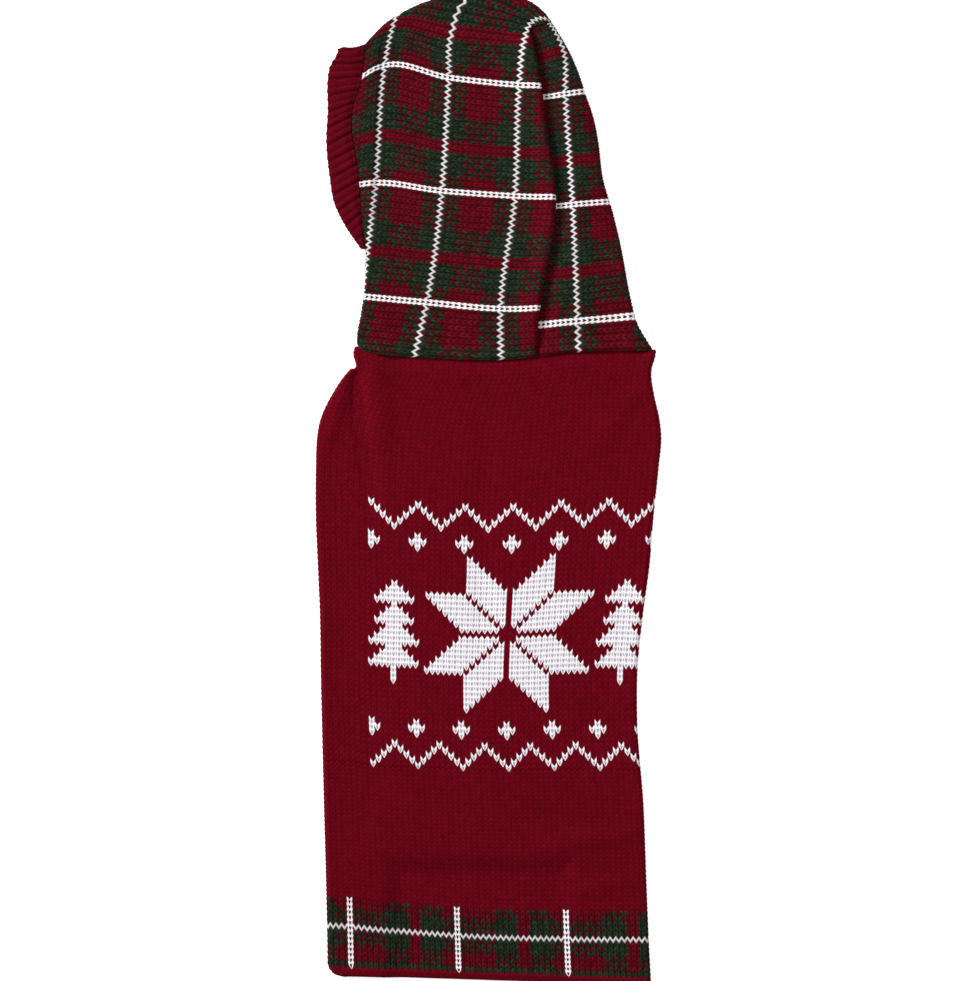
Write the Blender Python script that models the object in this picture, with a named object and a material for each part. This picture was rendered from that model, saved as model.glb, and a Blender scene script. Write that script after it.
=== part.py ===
"""Hooded dog sweater, lying flat on its belly with its back up.

Six knitted pieces, each a wall of cloth of even thickness: a back panel that
turns round both side folds, a shorter belly panel between its edges, a band
round each leg opening, a hood strip folded over the crown and sewn down its
back edge, and a ribbed band round the face.

Units are metres. +Y runs from the hem to the crown, +X to the right as seen
from above, +Z is up. The origin is under the middle of the sweater, on the
surface that it lies on.
"""

import math

import bmesh
import bpy
import numpy as np

MM = 0.001

# Driving dimensions.
WALL = 2.0 * MM               # thickness of the knitted cloth
SEAM_GAP = 0.3 * MM           # between the edges of two sewn pieces
FOLD_RADIUS = 3.2 * MM        # outside radius of a fold at the garment's edge
LAYER_GAP = 1.0 * MM          # air between the upper and the lower layer
LEAST_GAP = 0.35 * MM         # where a crease presses the layers together
PUFF_REACH = 9.0 * MM         # how far a fold keeps the upper layer raised
CREASE_CLEAR = 5.0 * MM       # creases die out this near to a fold
FOLD_STEPS = 4                # flat facets round a fold

LEFT_MARGIN = 34.0 * MM       # width of the back panel under its left fold
RIGHT_MARGIN = 42.0 * MM      # and under its right fold
BELLY_HEM_Y = -234.0 * MM     # the belly panel ends above the back's hem
BELLY_CORNER = 26.0 * MM      # radius of the belly panel's lower corners
SAG_START = 1.5 * MM          # past the layer below, the back starts to sink
SAG_REACH = 15.0 * MM         # and after this it lies on the ground
HEM_SLOPE = -0.033            # the hem runs down towards the right
HEM_Y = -318.4 * MM           # height of the hem at the middle
HEM_CORNER_LEFT = 9.0 * MM
HEM_CORNER_RIGHT = 3.0 * MM
HEM_ROLL = 0.9 * MM           # the cast-on edge rolls up by this
HEM_ROLL_WIDTH = 7.0 * MM

LEG_Y = 14.0 * MM             # middle of the leg openings
LEG_CUT = (23.0 * MM, 31.0 * MM)      # half width, half height of the cut
LEG_BAND_WIDTH = 8.0 * MM
LEG_SEGMENTS = 40

LIP_RISE = 1.3 * MM           # the hood's lower edge stands over the back
LIP_WIDTH = 7.0 * MM
LIP_ROUND = 1.6 * MM
NECK_DIP = 0.6 * MM           # the back dips into the neck seam
NECK_DIP_WIDTH = 5.0 * MM
SEAM_ROLL = 1.2 * MM          # the hood's left half rolls over its back seam
SEAM_ROLL_WIDTH = 8.0 * MM
SEAM_DIP = 0.6 * MM           # the right half dips beside the seam
SEAM_DIP_WIDTH = 6.0 * MM

RIB_COUNT = 25                # ribs along the upper half of the face band
RIB_STEPS = 4                 # stations for each rib
RIB_HEIGHT = 0.9 * MM
BAND_ACROSS = (0.0, 0.36, 0.74, 1.0)  # shares of the face band's width
BAND_EDGE_ROUND = 0.7 * MM

# Where the sections and columns of the panels lie.
BACK_COLUMNS = 20
EDGE_CROWDING = 0.7           # columns stand closer near the side folds
BACK_MARGIN_COLUMNS = 3
BACK_MIDDLE_ROWS = 26
ROWS_BELOW_NECK = (0.0, 2.5 * MM, 6.0 * MM, 11.0 * MM, 18.0 * MM)
ROWS_ABOVE_HEM = (14.0 * MM, 9.0 * MM, 6.0 * MM, 3.5 * MM, 1.5 * MM, 0.0)
BELLY_COLUMNS = 10
BELLY_CORNER_ROWS = (1.0, 0.62, 0.36, 0.16, 0.04, 0.0)  # shares of its radius
CURVE_STEPS = 400             # straight steps in a finely divided curve

# Shares at which the hood's rows and columns lie, close together at the
# lip over the neck and on both sides of the back seam.
CHIN_ROWS = (0.0, 0.03, 0.07, 0.13, 0.22, 0.36, 0.55, 0.77, 1.0)
FACE_ROWS = tuple(np.linspace(0.0, 1.0, 14))
CHIN_SHARE = 0.28             # of the hood's height lies below the chin
CHIN_TO_FACE = 0.04           # and this share parts the chin from the face
COLUMNS_TO_SEAM = (*np.linspace(0.0, 0.86, 10), 0.92, 0.96, 0.985, 1.0)
COLUMNS_PAST_SEAM = (0.0, 0.04, 0.11, 0.22, 0.40, 0.60, 0.80, 1.0)
CROWN_SHARE = 0.80            # of the crown fold lies left of the back seam
SLIT_EASE = 14.0 * MM         # the seam's roll dies out over this height
CHIN_EASE = 18.0 * MM         # the closed front opens out over this height
CHIN_FAR = 0.05               # least weight that the closed front fades to
NECK_CORNER = 18.0 * MM       # the back fold turns off the neck seam over this

# Outline of the body, one row for each section.
BODY_OUTLINE_MM = [
    # y, left edge, right edge
    (92.0, -86.8, 106.9),
    (83.0, -88.7, 106.4),
    (76.4, -93.3, 106.5),
    (60.8, -102.4, 108.2),
    (45.2, -109.2, 111.2),
    (35.4, -111.1, 112.1),
    (14.0, -112.1, 110.4),
    (-17.2, -112.1, 107.2),
    (-48.4, -110.8, 104.6),
    (-79.6, -109.5, 100.4),
    (-118.6, -108.9, 96.7),
    (-149.8, -108.2, 96.6),
    (-204.4, -106.9, 100.6),
    (-251.2, -105.6, 102.4),
    (-298.0, -104.6, 104.3),
    (-322.0, -104.4, 105.6),
]

# Seam between the hood and the body, from the left fold to the right one.
NECK_SEAM_MM = [
    # x, y
    (-86.8, 91.5),
    (-73.8, 88.9),
    (-47.8, 86.8),
    (1.0, 84.8),
    (30.0, 86.8),
    (46.5, 89.2),
    (72.5, 90.7),
    (106.9, 90.5),
]

# Closed front of the hood, from the neck up to the chin.
CHIN_FOLD_MM = [
    # x, y
    (-86.8, 91.5),
    (-86.1, 99.8),
    (-82.9, 115.4),
    (-80.9, 131.0),
    (-80.2, 146.6),
]

# Edge of the face opening, from the chin up to the crown.
FACE_EDGE_MM = [
    # x, y
    (-79.6, 156.0),
    (-82.2, 178.4),
    (-83.5, 196.0),
    (-85.5, 214.2),
    (-88.4, 230.4),
    (-88.0, 246.7),
    (-82.6, 263.5),
    (-80.3, 285.4),
]

# Free edge of the face band, over the same stretch.
BAND_EDGE_MM = [
    # x, y
    (-82.6, 156.0),
    (-93.3, 171.9),
    (-99.8, 185.6),
    (-102.9, 203.0),
    (-105.0, 225.0),
    (-104.0, 248.0),
    (-104.3, 262.0),
    (-102.5, 275.0),
    (-97.5, 284.8),
]

# Crown fold of the hood, from the face to the top of the back fold.
CROWN_FOLD_MM = [
    # x, y
    (-80.3, 288.6),
    (-75.7, 293.5),
    (-67.3, 302.0),
    (-57.5, 308.4),
    (-44.5, 314.9),
    (-28.3, 319.7),
    (-5.5, 322.0),
    (14.0, 320.8),
    (25.7, 317.3),
    (35.4, 310.2),
    (43.9, 298.7),
]

# Back fold of the hood, from the neck up to the crown.
BACK_FOLD_MM = [
    # x, y
    (106.9, 90.5),
    (96.8, 107.6),
    (92.6, 123.2),
    (86.8, 154.4),
    (81.4, 177.8),
    (74.6, 201.2),
    (71.6, 224.6),
    (68.6, 240.2),
    (63.4, 255.8),
    (58.2, 271.4),
    (51.0, 287.0),
    (43.9, 298.7),
]

# Back seam of the hood, from the neck up to the crown.
BACK_SEAM_MM = [
    # x, y
    (28.9, 86.9),
    (30.2, 110.2),
    (34.1, 136.2),
    (39.3, 162.2),
    (41.3, 185.0),
    (40.0, 204.4),
    (35.4, 233.7),
    (32.2, 259.7),
    (28.9, 279.2),
    (25.5, 298.7),
    (24.0, 314.0),
]

# Soft creases: straight ridges (height over 0) and troughs (height under 0).
BODY_CREASES_MM = [
    # from x, from y, to x, to y, half width, height
    (-84.5, 86.0, -78.0, 48.0, 4.5, 1.3),
    (-82.0, 52.0, -75.0, -4.0, 5.0, -0.6),
    (-101.0, 52.0, -98.0, 12.0, 9.0, -0.6),
    (-2.0, 40.0, -3.0, -98.0, 8.0, -0.5),
    (100.0, 68.0, 76.0, 36.0, 7.0, 0.8),
    (40.0, -232.0, 96.0, -222.0, 6.0, 0.7),
    (34.0, -214.0, 74.0, -214.0, 7.0, -0.5),
    (48.0, -264.0, 96.0, -250.0, 6.0, 0.6),
]
HOOD_CREASES_MM = [
    # from x, from y, to x, to y, half width, height
    (-66.0, 92.0, -72.0, 168.0, 6.0, 0.7),
    (-26.0, 96.0, -20.0, 150.0, 8.0, -0.5),
    (62.0, 98.0, 58.0, 190.0, 6.0, 0.7),
    (84.0, 98.0, 78.0, 146.0, 5.0, -0.5),
    (8.0, 200.0, 4.0, 280.0, 9.0, -0.5),
]

SHARP_FROM = math.radians(50)
RED = (0.130, 0.0035, 0.010)
DEEP_RED = (0.105, 0.0030, 0.009)
PLAID_RED = (0.062, 0.008, 0.010)


def metres(table):
    """Turn a table in millimetres into an array in metres."""
    return np.array(table, dtype=float) * MM


def smooth_between(at, knots, values):
    """Cubic curve through (knots, values), with rising knots, read at `at`."""
    slopes = np.gradient(values, knots)
    step = np.clip(np.searchsorted(knots, at, side="right") - 1, 0, len(knots) - 2)
    width = knots[step + 1] - knots[step]
    share = np.clip((at - knots[step]) / width, 0.0, 1.0)
    start_weight = (1 + 2 * share) * (1 - share) ** 2
    end_weight = share ** 2 * (3 - 2 * share)
    start_slope = share * (1 - share) ** 2 * width * slopes[step]
    end_slope = share ** 2 * (share - 1) * width * slopes[step + 1]
    return start_weight * values[step] + end_weight * values[step + 1] + start_slope + end_slope


def curve_through(points, shares):
    """Points at these shares of the length of a smooth curve through `points`."""
    steps = np.concatenate([[0.0], np.cumsum(np.linalg.norm(np.diff(points, axis=0), axis=1))])
    fine = np.linspace(0.0, steps[-1], CURVE_STEPS)
    path = np.stack([smooth_between(fine, steps, points[:, axis]) for axis in range(2)], axis=1)
    run = np.concatenate([[0.0], np.cumsum(np.linalg.norm(np.diff(path, axis=0), axis=1))])
    at = np.asarray(shares) * run[-1]
    return np.stack([np.interp(at, run, path[:, axis]) for axis in range(2)], axis=1)


def along_polyline(points, count):
    """Points at even distances along the straight runs between `points`."""
    run = np.concatenate([[0.0], np.cumsum(np.linalg.norm(np.diff(points, axis=0), axis=1))])
    at = np.linspace(0.0, run[-1], count)
    return np.stack([np.interp(at, run, points[:, axis]) for axis in range(2)], axis=1)


def outward_normals(points):
    """Unit normals to the left of a curve's direction of travel."""
    along = np.gradient(points, axis=0)
    along /= np.linalg.norm(along, axis=1, keepdims=True)
    return np.stack([-along[:, 1], along[:, 0]], axis=1)


def ease(share):
    """Smooth step from 0 to 1 as `share` runs from 0 to 1."""
    share = np.clip(share, 0.0, 1.0)
    return share * share * (3.0 - 2.0 * share)


def crease_height(x, y, table):
    """Sum of the soft creases of a table at one place."""
    total = 0.0
    for start_x, start_y, end_x, end_y, half_width, height in table:
        run_x, run_y = end_x - start_x, end_y - start_y
        length = math.hypot(run_x, run_y)
        along = ((x - start_x) * run_x + (y - start_y) * run_y) / length
        across = ((x - start_x) * run_y - (y - start_y) * run_x) / length
        past_end = max(-along, along - length, 0.0)
        fade = math.exp(-(across / half_width) ** 2 - (past_end / (2 * half_width)) ** 2)
        total += height * fade
    return total


OUTLINE = metres(BODY_OUTLINE_MM)[::-1]
NECK = metres(NECK_SEAM_MM)
BACK_SEAM = metres(BACK_SEAM_MM)
BODY_CREASES = metres(BODY_CREASES_MM)
HOOD_CREASES = metres(HOOD_CREASES_MM)


def left_edge(y):
    """Outermost x of the body's left fold at height y."""
    return smooth_between(y, OUTLINE[:, 0], OUTLINE[:, 1])


def right_edge(y):
    """Outermost x of the body's right fold at height y."""
    return smooth_between(y, OUTLINE[:, 0], OUTLINE[:, 2])


def left_seam(y):
    """x of the seam between the back's left margin and the belly."""
    return left_edge(y) + LEFT_MARGIN


def right_seam(y):
    """x of the seam between the back's right margin and the belly."""
    return right_edge(y) - RIGHT_MARGIN


def neck_y(x):
    """Height of the neck seam at x."""
    return smooth_between(x, NECK[:, 0], NECK[:, 1])


def hem_y(x):
    """Height of the back panel's hem at x."""
    return HEM_Y + HEM_SLOPE * x


def corner_inset(distance, radius):
    """How far a rounded corner cuts in, this far above the edge it ends."""
    if distance >= radius:
        return 0.0
    return radius - math.sqrt(radius ** 2 - (radius - distance) ** 2)


def support_height(x, y):
    """Top of what lies under the back panel: margins, belly or the ground."""
    past = min(x - left_seam(y), right_seam(y) - x, BELLY_HEM_Y - y) - SAG_START
    return WALL * (1.0 - ease(past / SAG_REACH))


def upper_layer_floor(near_fold, support, creases):
    """Height of the upper layer's inner side, `near_fold` in from a fold."""
    base = support + LAYER_GAP * support / WALL
    at_fold = 2 * FOLD_RADIUS - WALL
    height = base + (at_fold - base) * math.exp(-near_fold / PUFF_REACH)
    height += creases * (1.0 - math.exp(-near_fold / CREASE_CLEAR))
    return max(height, support + LEAST_GAP * support / WALL)


def fold_points(edge, direction):
    """Outer and inner points round a fold, without its two ends.

    `edge` is where the flat layers end, `direction` points out of the fold.
    """
    points = []
    for step in range(1, FOLD_STEPS):
        angle = math.pi / 2 - math.pi * step / FOLD_STEPS
        pair = []
        for radius in (FOLD_RADIUS, FOLD_RADIUS - WALL):
            reach = radius * math.cos(angle)
            height = FOLD_RADIUS + radius * math.sin(angle)
            pair.append((edge[0] + direction[0] * reach, edge[1] + direction[1] * reach, height))
        points.append(tuple(pair))
    return points


class ClothWall:
    """A wall of cloth: an outer surface, an inner one and the rims between."""

    def __init__(self):
        self.numbers = {}
        self.outer = []
        self.inner = []
        self.quads = []

    def put(self, key, outer, inner):
        """Add one place on the cloth, with its outer and inner point."""
        self.numbers[key] = len(self.outer)
        self.outer.append(outer)
        self.inner.append(inner)

    def patch(self, keys):
        """Join a grid of places, given as rows of keys, with faces."""
        for row, next_row in zip(keys, keys[1:]):
            for corner in range(len(row) - 1):
                corners = (row[corner], row[corner + 1], next_row[corner + 1], next_row[corner])
                self.quads.append([self.numbers[key] for key in corners])

    def build(self, name, colour):
        """Make the closed object."""
        mesh = bpy.data.meshes.new(name)
        work = bmesh.new()
        outer = [work.verts.new(point) for point in self.outer]
        inner = [work.verts.new(point) for point in self.inner]
        uses = {}
        for quad in self.quads:
            work.faces.new([outer[number] for number in quad])
            work.faces.new([inner[number] for number in reversed(quad)])
            for start, end in zip(quad, quad[1:] + quad[:1]):
                uses.setdefault(frozenset((start, end)), []).append((start, end))
        for ends in uses.values():
            if len(ends) == 1:
                start, end = ends[0]
                work.faces.new((outer[end], outer[start], inner[start], inner[end]))
        bmesh.ops.recalc_face_normals(work, faces=work.faces)
        work.to_mesh(mesh)
        work.free()
        return finished_object(name, mesh, colour)


def finished_object(name, mesh, colour):
    """Object of a piece, with its own material, in the sweater's collection."""
    material = bpy.data.materials.new(name + "_knit")
    material.use_nodes = True
    shader = material.node_tree.nodes["Principled BSDF"]
    shader.inputs["Base Color"].default_value = (*colour, 1.0)
    shader.inputs["Roughness"].default_value = 0.9
    shader.inputs["Metallic"].default_value = 0.0
    mesh.materials.append(material)
    mesh.shade_smooth()
    mesh.set_sharp_from_angle(angle=SHARP_FROM)
    piece = bpy.data.objects.new(name, mesh)
    bpy.data.collections["hooded_dog_sweater"].objects.link(piece)
    return piece


def cut(piece, cutter):
    """Cut a piece with a cutter, which stays hidden."""
    cutter.hide_render = True
    cutter.display_type = "WIRE"
    modifier = piece.modifiers.new("cut_" + cutter.name, "BOOLEAN")
    modifier.operation = "DIFFERENCE"
    modifier.solver = "EXACT"
    modifier.object = cutter


def cutter_object(name, mesh):
    """Object of a cutter, in the cutters' collection."""
    cutter = bpy.data.objects.new(name, mesh)
    bpy.data.collections["cutters"].objects.link(cutter)
    return cutter


def oval_mesh(name, centre, half_sizes, low, high):
    """Upright oval prism."""
    work = bmesh.new()
    bmesh.ops.create_cone(work, cap_ends=True, segments=LEG_SEGMENTS, radius1=1.0, radius2=1.0,
                          depth=1.0)
    for vert in work.verts:
        vert.co.x = centre[0] + half_sizes[0] * vert.co.x
        vert.co.y = centre[1] + half_sizes[1] * vert.co.y
        vert.co.z = (low + high) / 2 + (high - low) * vert.co.z
    mesh = bpy.data.meshes.new(name)
    work.to_mesh(mesh)
    work.free()
    return mesh


def back_row_shares():
    """Shares of the back's length at which its sections lie."""
    length = NECK[:, 1].mean() - HEM_Y
    near_neck = np.array(ROWS_BELOW_NECK)
    near_hem = length - np.array(ROWS_ABOVE_HEM)
    between = np.linspace(near_neck[-1], near_hem[0], BACK_MIDDLE_ROWS)[1:-1]
    return np.concatenate([near_neck, between, near_hem]) / length


def back_top_pair(x, y, left, right):
    """Outer and inner point of the back's upper layer at one place."""
    near_fold = min(x - left, right - x) - FOLD_RADIUS
    from_neck = neck_y(x) - y
    from_hem = y - hem_y(x)
    creases = crease_height(x, y, BODY_CREASES)
    creases -= NECK_DIP * math.exp(-(from_neck / NECK_DIP_WIDTH) ** 2)
    floor = upper_layer_floor(max(near_fold, 0.0), support_height(x, y), creases)
    roll = HEM_ROLL * math.sin(math.pi * min(from_hem / HEM_ROLL_WIDTH, 1.0))
    rounding = HEM_ROLL * (1.0 - ease(from_hem / (HEM_ROLL_WIDTH / 3)))
    return (x, y, floor + WALL + roll - rounding), (x, y, floor)


def back_section(share):
    """One section of the back: margin, fold, upper layer, fold, margin."""
    left = NECK[0, 0]
    right = NECK[-1, 0]
    neck_gap = SEAM_GAP / 2

    def row_y(x):
        return (neck_y(x) - neck_gap) * (1 - share) + hem_y(x) * share

    for _ in range(3):
        left = left_edge(row_y(left))
        right = right_edge(row_y(right))
    left += corner_inset(row_y(left) - hem_y(left), HEM_CORNER_LEFT)
    right -= corner_inset(row_y(right) - hem_y(right), HEM_CORNER_RIGHT)

    inner_left = left + FOLD_RADIUS
    inner_right = right - FOLD_RADIUS
    left_y = row_y(inner_left)
    right_y = row_y(inner_right)
    section = []
    for x in np.linspace(left_seam(left_y) - SEAM_GAP / 2, inner_left, BACK_MARGIN_COLUMNS + 1):
        section.append(((x, row_y(x), 0.0), (x, row_y(x), WALL)))
    section += reversed(fold_points((inner_left, left_y), (-1.0, 0.0)))
    for step in np.linspace(0.0, 1.0, BACK_COLUMNS + 1):
        spread = step - EDGE_CROWDING * math.sin(2 * math.pi * step) / (2 * math.pi)
        x = inner_left + (inner_right - inner_left) * spread
        section.append(back_top_pair(x, row_y(x), left, right))
    section += fold_points((inner_right, right_y), (1.0, 0.0))
    for x in np.linspace(inner_right, right_seam(right_y) + SEAM_GAP / 2, BACK_MARGIN_COLUMNS + 1):
        section.append(((x, row_y(x), 0.0), (x, row_y(x), WALL)))
    return section


def wall_from_sections(sections):
    """Cloth wall through sections of outer and inner points."""
    wall = ClothWall()
    for row, section in enumerate(sections):
        for column, (outer, inner) in enumerate(section):
            wall.put((row, column), outer, inner)
    columns = range(len(sections[0]))
    wall.patch([[(row, column) for column in columns] for row in range(len(sections))])
    return wall


def build_back_panel(sections):
    """Back panel, from the neck to the rolled hem, with both margins."""
    return wall_from_sections(sections).build("back_panel", RED)


def belly_edges(back_sections):
    """Left and right ends of the belly's sections, a seam gap off the back."""
    left_line = np.array([section[0][0][:2] for section in back_sections])
    right_line = np.array([section[-1][0][:2] for section in back_sections])
    above_corner = BELLY_HEM_Y + BELLY_CORNER
    whole = (left_line[:, 1] > above_corner) & (right_line[:, 1] > above_corner)
    lefts = list(left_line[whole] + (SEAM_GAP, 0.0))
    rights = list(right_line[whole] - (SEAM_GAP, 0.0))
    for share in BELLY_CORNER_ROWS:
        height = BELLY_CORNER * share
        y = BELLY_HEM_Y + height
        inset = SEAM_GAP + corner_inset(height, BELLY_CORNER)
        for line, ends, side in ((left_line, lefts, 1), (right_line, rights, -1)):
            x = np.interp(y, line[::-1, 1], line[::-1, 0])
            ends.append(np.array((x + side * inset, y)))
    return lefts, rights


def build_belly_panel(back_sections):
    """Flat belly panel between the back's margins, with round lower corners."""
    lefts, rights = belly_edges(back_sections)
    sections = []
    for row, (left, right) in enumerate(zip(lefts, rights)):
        below_neck = row / (len(lefts) - 1)
        section = []
        for across in np.linspace(0.0, 1.0, BELLY_COLUMNS + 1):
            x, y = left + (right - left) * across
            straight = neck_y(left[0]) + (neck_y(right[0]) - neck_y(left[0])) * across
            y += (neck_y(x) - straight) * (1.0 - below_neck)
            section.append(((x, y, 0.0), (x, y, WALL)))
        sections.append(section)
    return wall_from_sections(sections).build("belly_panel", DEEP_RED)


def build_leg_band(side, centre):
    """Flat band inside a leg opening."""
    outer = [half - SEAM_GAP for half in LEG_CUT]
    inner = [half - SEAM_GAP - LEG_BAND_WIDTH for half in LEG_CUT]
    name = "leg_band_" + side
    band = finished_object(name, oval_mesh(name, centre, outer, 0.0, WALL), DEEP_RED)
    hole = oval_mesh(name + "_hole", centre, inner, -WALL, 2 * WALL)
    cut(band, cutter_object(name + "_hole", hole))
    return band


def coons_grid(bottom, top, left, right, across, up):
    """Grid of places inside four edge curves; the first index runs upwards."""
    across = np.asarray(across)[None, :, None]
    up = np.asarray(up)[:, None, None]
    ruled = (1 - up) * bottom[None] + up * top[None]
    ruled = ruled + (1 - across) * left[:, None] + across * right[:, None]
    corners = (1 - up) * ((1 - across) * bottom[0] + across * bottom[-1])
    corners = corners + up * ((1 - across) * top[0] + across * top[-1])
    return ruled - corners


def face_line():
    """Places on the hood's edge at the face opening, from chin to crown."""
    return curve_through(metres(FACE_EDGE_MM), FACE_ROWS)


def neck_line(start_x, end_x, across):
    """Places along the hood's lower edge."""
    x = start_x + (end_x - start_x) * np.asarray(across)
    return np.stack([x, neck_y(x) + SEAM_GAP / 2], axis=1)


def hood_plan():
    """Plan of the hood inside its folds, with the directions of its folds.

    The grid's columns run from the face to the seam, then to the back fold.
    """
    face_start = CHIN_SHARE + CHIN_TO_FACE
    up = np.concatenate([CHIN_SHARE * np.array(CHIN_ROWS),
                         face_start + (1.0 - face_start) * np.array(FACE_ROWS)])
    chin = curve_through(metres(CHIN_FOLD_MM), CHIN_ROWS)
    chin[:, 0] += FOLD_RADIUS
    face_side = np.concatenate([chin, face_line()])
    seam = curve_through(BACK_SEAM, up)
    back = curve_through(metres(BACK_FOLD_MM), up)
    turned = ease(np.linalg.norm(back - back[0], axis=1) / NECK_CORNER)[:, None]
    back_out = (1.0 - turned) * (1.0, 0.0) - turned * outward_normals(back)
    back_out /= np.linalg.norm(back_out, axis=1, keepdims=True)
    back_side = back - FOLD_RADIUS * back_out

    to_seam, past_seam = np.array(COLUMNS_TO_SEAM), np.array(COLUMNS_PAST_SEAM)
    crown_shares = np.concatenate([CROWN_SHARE * to_seam,
                                   CROWN_SHARE + (1 - CROWN_SHARE) * past_seam[1:]])
    crown = curve_through(metres(CROWN_FOLD_MM), crown_shares)
    crown_out = outward_normals(crown)
    crown_out[0] = (0.0, 1.0)
    crown_out[-1] = back_out[-1]
    crown_side = crown - FOLD_RADIUS * crown_out

    seam_column = len(to_seam) - 1
    to_seam_neck = neck_line(face_side[0, 0], seam[0, 0], to_seam)
    past_seam_neck = neck_line(seam[0, 0], back_side[0, 0], past_seam)
    face_side[0] = to_seam_neck[0]
    seam[0] = to_seam_neck[-1]
    back_side[0] = past_seam_neck[-1]
    seam[-1] = crown_side[seam_column]
    crown_side[0] = face_side[-1]
    back_side[-1] = crown_side[-1]
    face_half = coons_grid(to_seam_neck, crown_side[:seam_column + 1], face_side, seam,
                           to_seam, up)
    back_half = coons_grid(past_seam_neck, crown_side[seam_column:], seam, back_side,
                           past_seam, up)
    return np.concatenate([face_half, back_half[:, 1:]], axis=1), back_out, crown_out


def distance_to(place, line):
    """Distance from a place to the nearest point of a finely divided line."""
    return float(np.min(np.linalg.norm(line - np.asarray(place), axis=1)))


def hood_top_pair(place, side, folds, chin_line, slit_top):
    """Outer and inner point of the hood's upper layer at one place.

    `side` is -1 on the face side of the back seam and 1 past it.
    """
    x, y = place
    chin_weight = 1.0 - ease((y - chin_line[-1, 1]) / CHIN_EASE)
    near_chin = distance_to(place, chin_line) / max(chin_weight, CHIN_FAR)
    near_fold = min(near_chin, *(distance_to(place, line) for line in folds))
    from_neck = y - neck_y(x)
    from_seam = abs(x - smooth_between(y, BACK_SEAM[:, 1], BACK_SEAM[:, 0]))
    slit_weight = 1.0 - ease((y - slit_top) / SLIT_EASE + 1.0)
    creases = crease_height(x, y, HOOD_CREASES)
    creases += LIP_RISE * math.exp(-(from_neck / LIP_WIDTH) ** 2)
    rounding = LIP_RISE / 2 * (1.0 - ease(from_neck / LIP_ROUND))
    if side < 0:
        creases += slit_weight * SEAM_ROLL * math.exp(-(from_seam / SEAM_ROLL_WIDTH) ** 2)
        rounding += slit_weight * SEAM_ROLL / 2 * (1.0 - ease(from_seam / LIP_ROUND))
    else:
        creases -= slit_weight * SEAM_DIP * math.exp(-(from_seam / SEAM_DIP_WIDTH) ** 2)
    floor = upper_layer_floor(near_fold, WALL, creases)
    return (x, y, floor + WALL - rounding), (x, y, floor)


def build_hood_panel():
    """Hood: upper and lower layer joined round the crown, back and chin."""
    plan, back_out, crown_out = hood_plan()
    last_row, last_column = len(plan) - 1, len(plan[0]) - 1
    chin_row, seam_column = len(CHIN_ROWS) - 1, len(COLUMNS_TO_SEAM) - 1
    slit_row = last_row - 1
    rows, columns = range(last_row + 1), range(last_column + 1)
    finely = np.linspace(0.0, 1.0, CURVE_STEPS)
    folds = [curve_through(plan[:, -1], finely), curve_through(plan[-1, :], finely)]
    chin_line = curve_through(plan[:chin_row + 1, 0], finely)
    surface = (folds, chin_line, plan[slit_row, seam_column, 1])

    wall = ClothWall()
    for row in rows:
        half_gap = SEAM_GAP / 2 if row < slit_row else 0.0
        for column in columns:
            place = plan[row, column]
            wall.put(("lower", row, column), (*place, 0.0), (*place, WALL))
            side = -1 if column <= seam_column else 1
            if column == seam_column:
                place = place - (half_gap, 0.0)
            wall.put(("upper", row, column), *hood_top_pair(place, side, *surface))
        if row < slit_row:
            place = plan[row, seam_column] + (half_gap, 0.0)
            wall.put(("slit", row), *hood_top_pair(place, 1, *surface))

    def past_seam_key(row, column):
        at_slit = column == seam_column and row < slit_row
        return ("slit", row) if at_slit else ("upper", row, column)

    def fold_chain(name, number, row, column, direction):
        chain = [("upper", row, column)]
        for step, (outer, inner) in enumerate(fold_points(plan[row, column], direction)):
            wall.put((name, number, step), outer, inner)
            chain.append((name, number, step))
        return chain + [("lower", row, column)]

    back = [fold_chain("back", row, row, last_column, back_out[row]) for row in rows]
    crown = [fold_chain("crown", column, last_row, column, crown_out[column])
             for column in columns[:-1]]
    chin = [fold_chain("chin", row, row, 0, (-1.0, 0.0)) for row in rows[:chin_row + 1]]
    wall.patch([[("upper", row, column) for column in columns[:seam_column + 1]]
                for row in rows])
    wall.patch([[past_seam_key(row, column) for column in columns[seam_column:]]
                for row in rows])
    wall.patch([[("lower", row, column) for column in reversed(columns)] for row in rows])
    wall.patch(back)
    wall.patch([*crown, back[-1]][::-1])
    wall.patch(chin[::-1])
    return wall.build("hood_panel", PLAID_RED)


def band_section(hood_place, free_place, ridge, near_crown):
    """Section across the upper half of the face band.

    `ridge` is 1 on a rib and 0 between two; ribs die out at the crown fold.
    """
    floor = upper_layer_floor(near_crown, WALL, 0.0)
    rib = RIB_HEIGHT * ridge * ease(near_crown / (2 * FOLD_RADIUS))
    section = []
    for share in BAND_ACROSS:
        x, y = hood_place + (free_place - hood_place) * share
        drop = BAND_EDGE_ROUND if share == BAND_ACROSS[-1] else 0.0
        section.append(((x, y, floor + WALL + rib - drop), (x, y, floor)))
    return section


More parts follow.
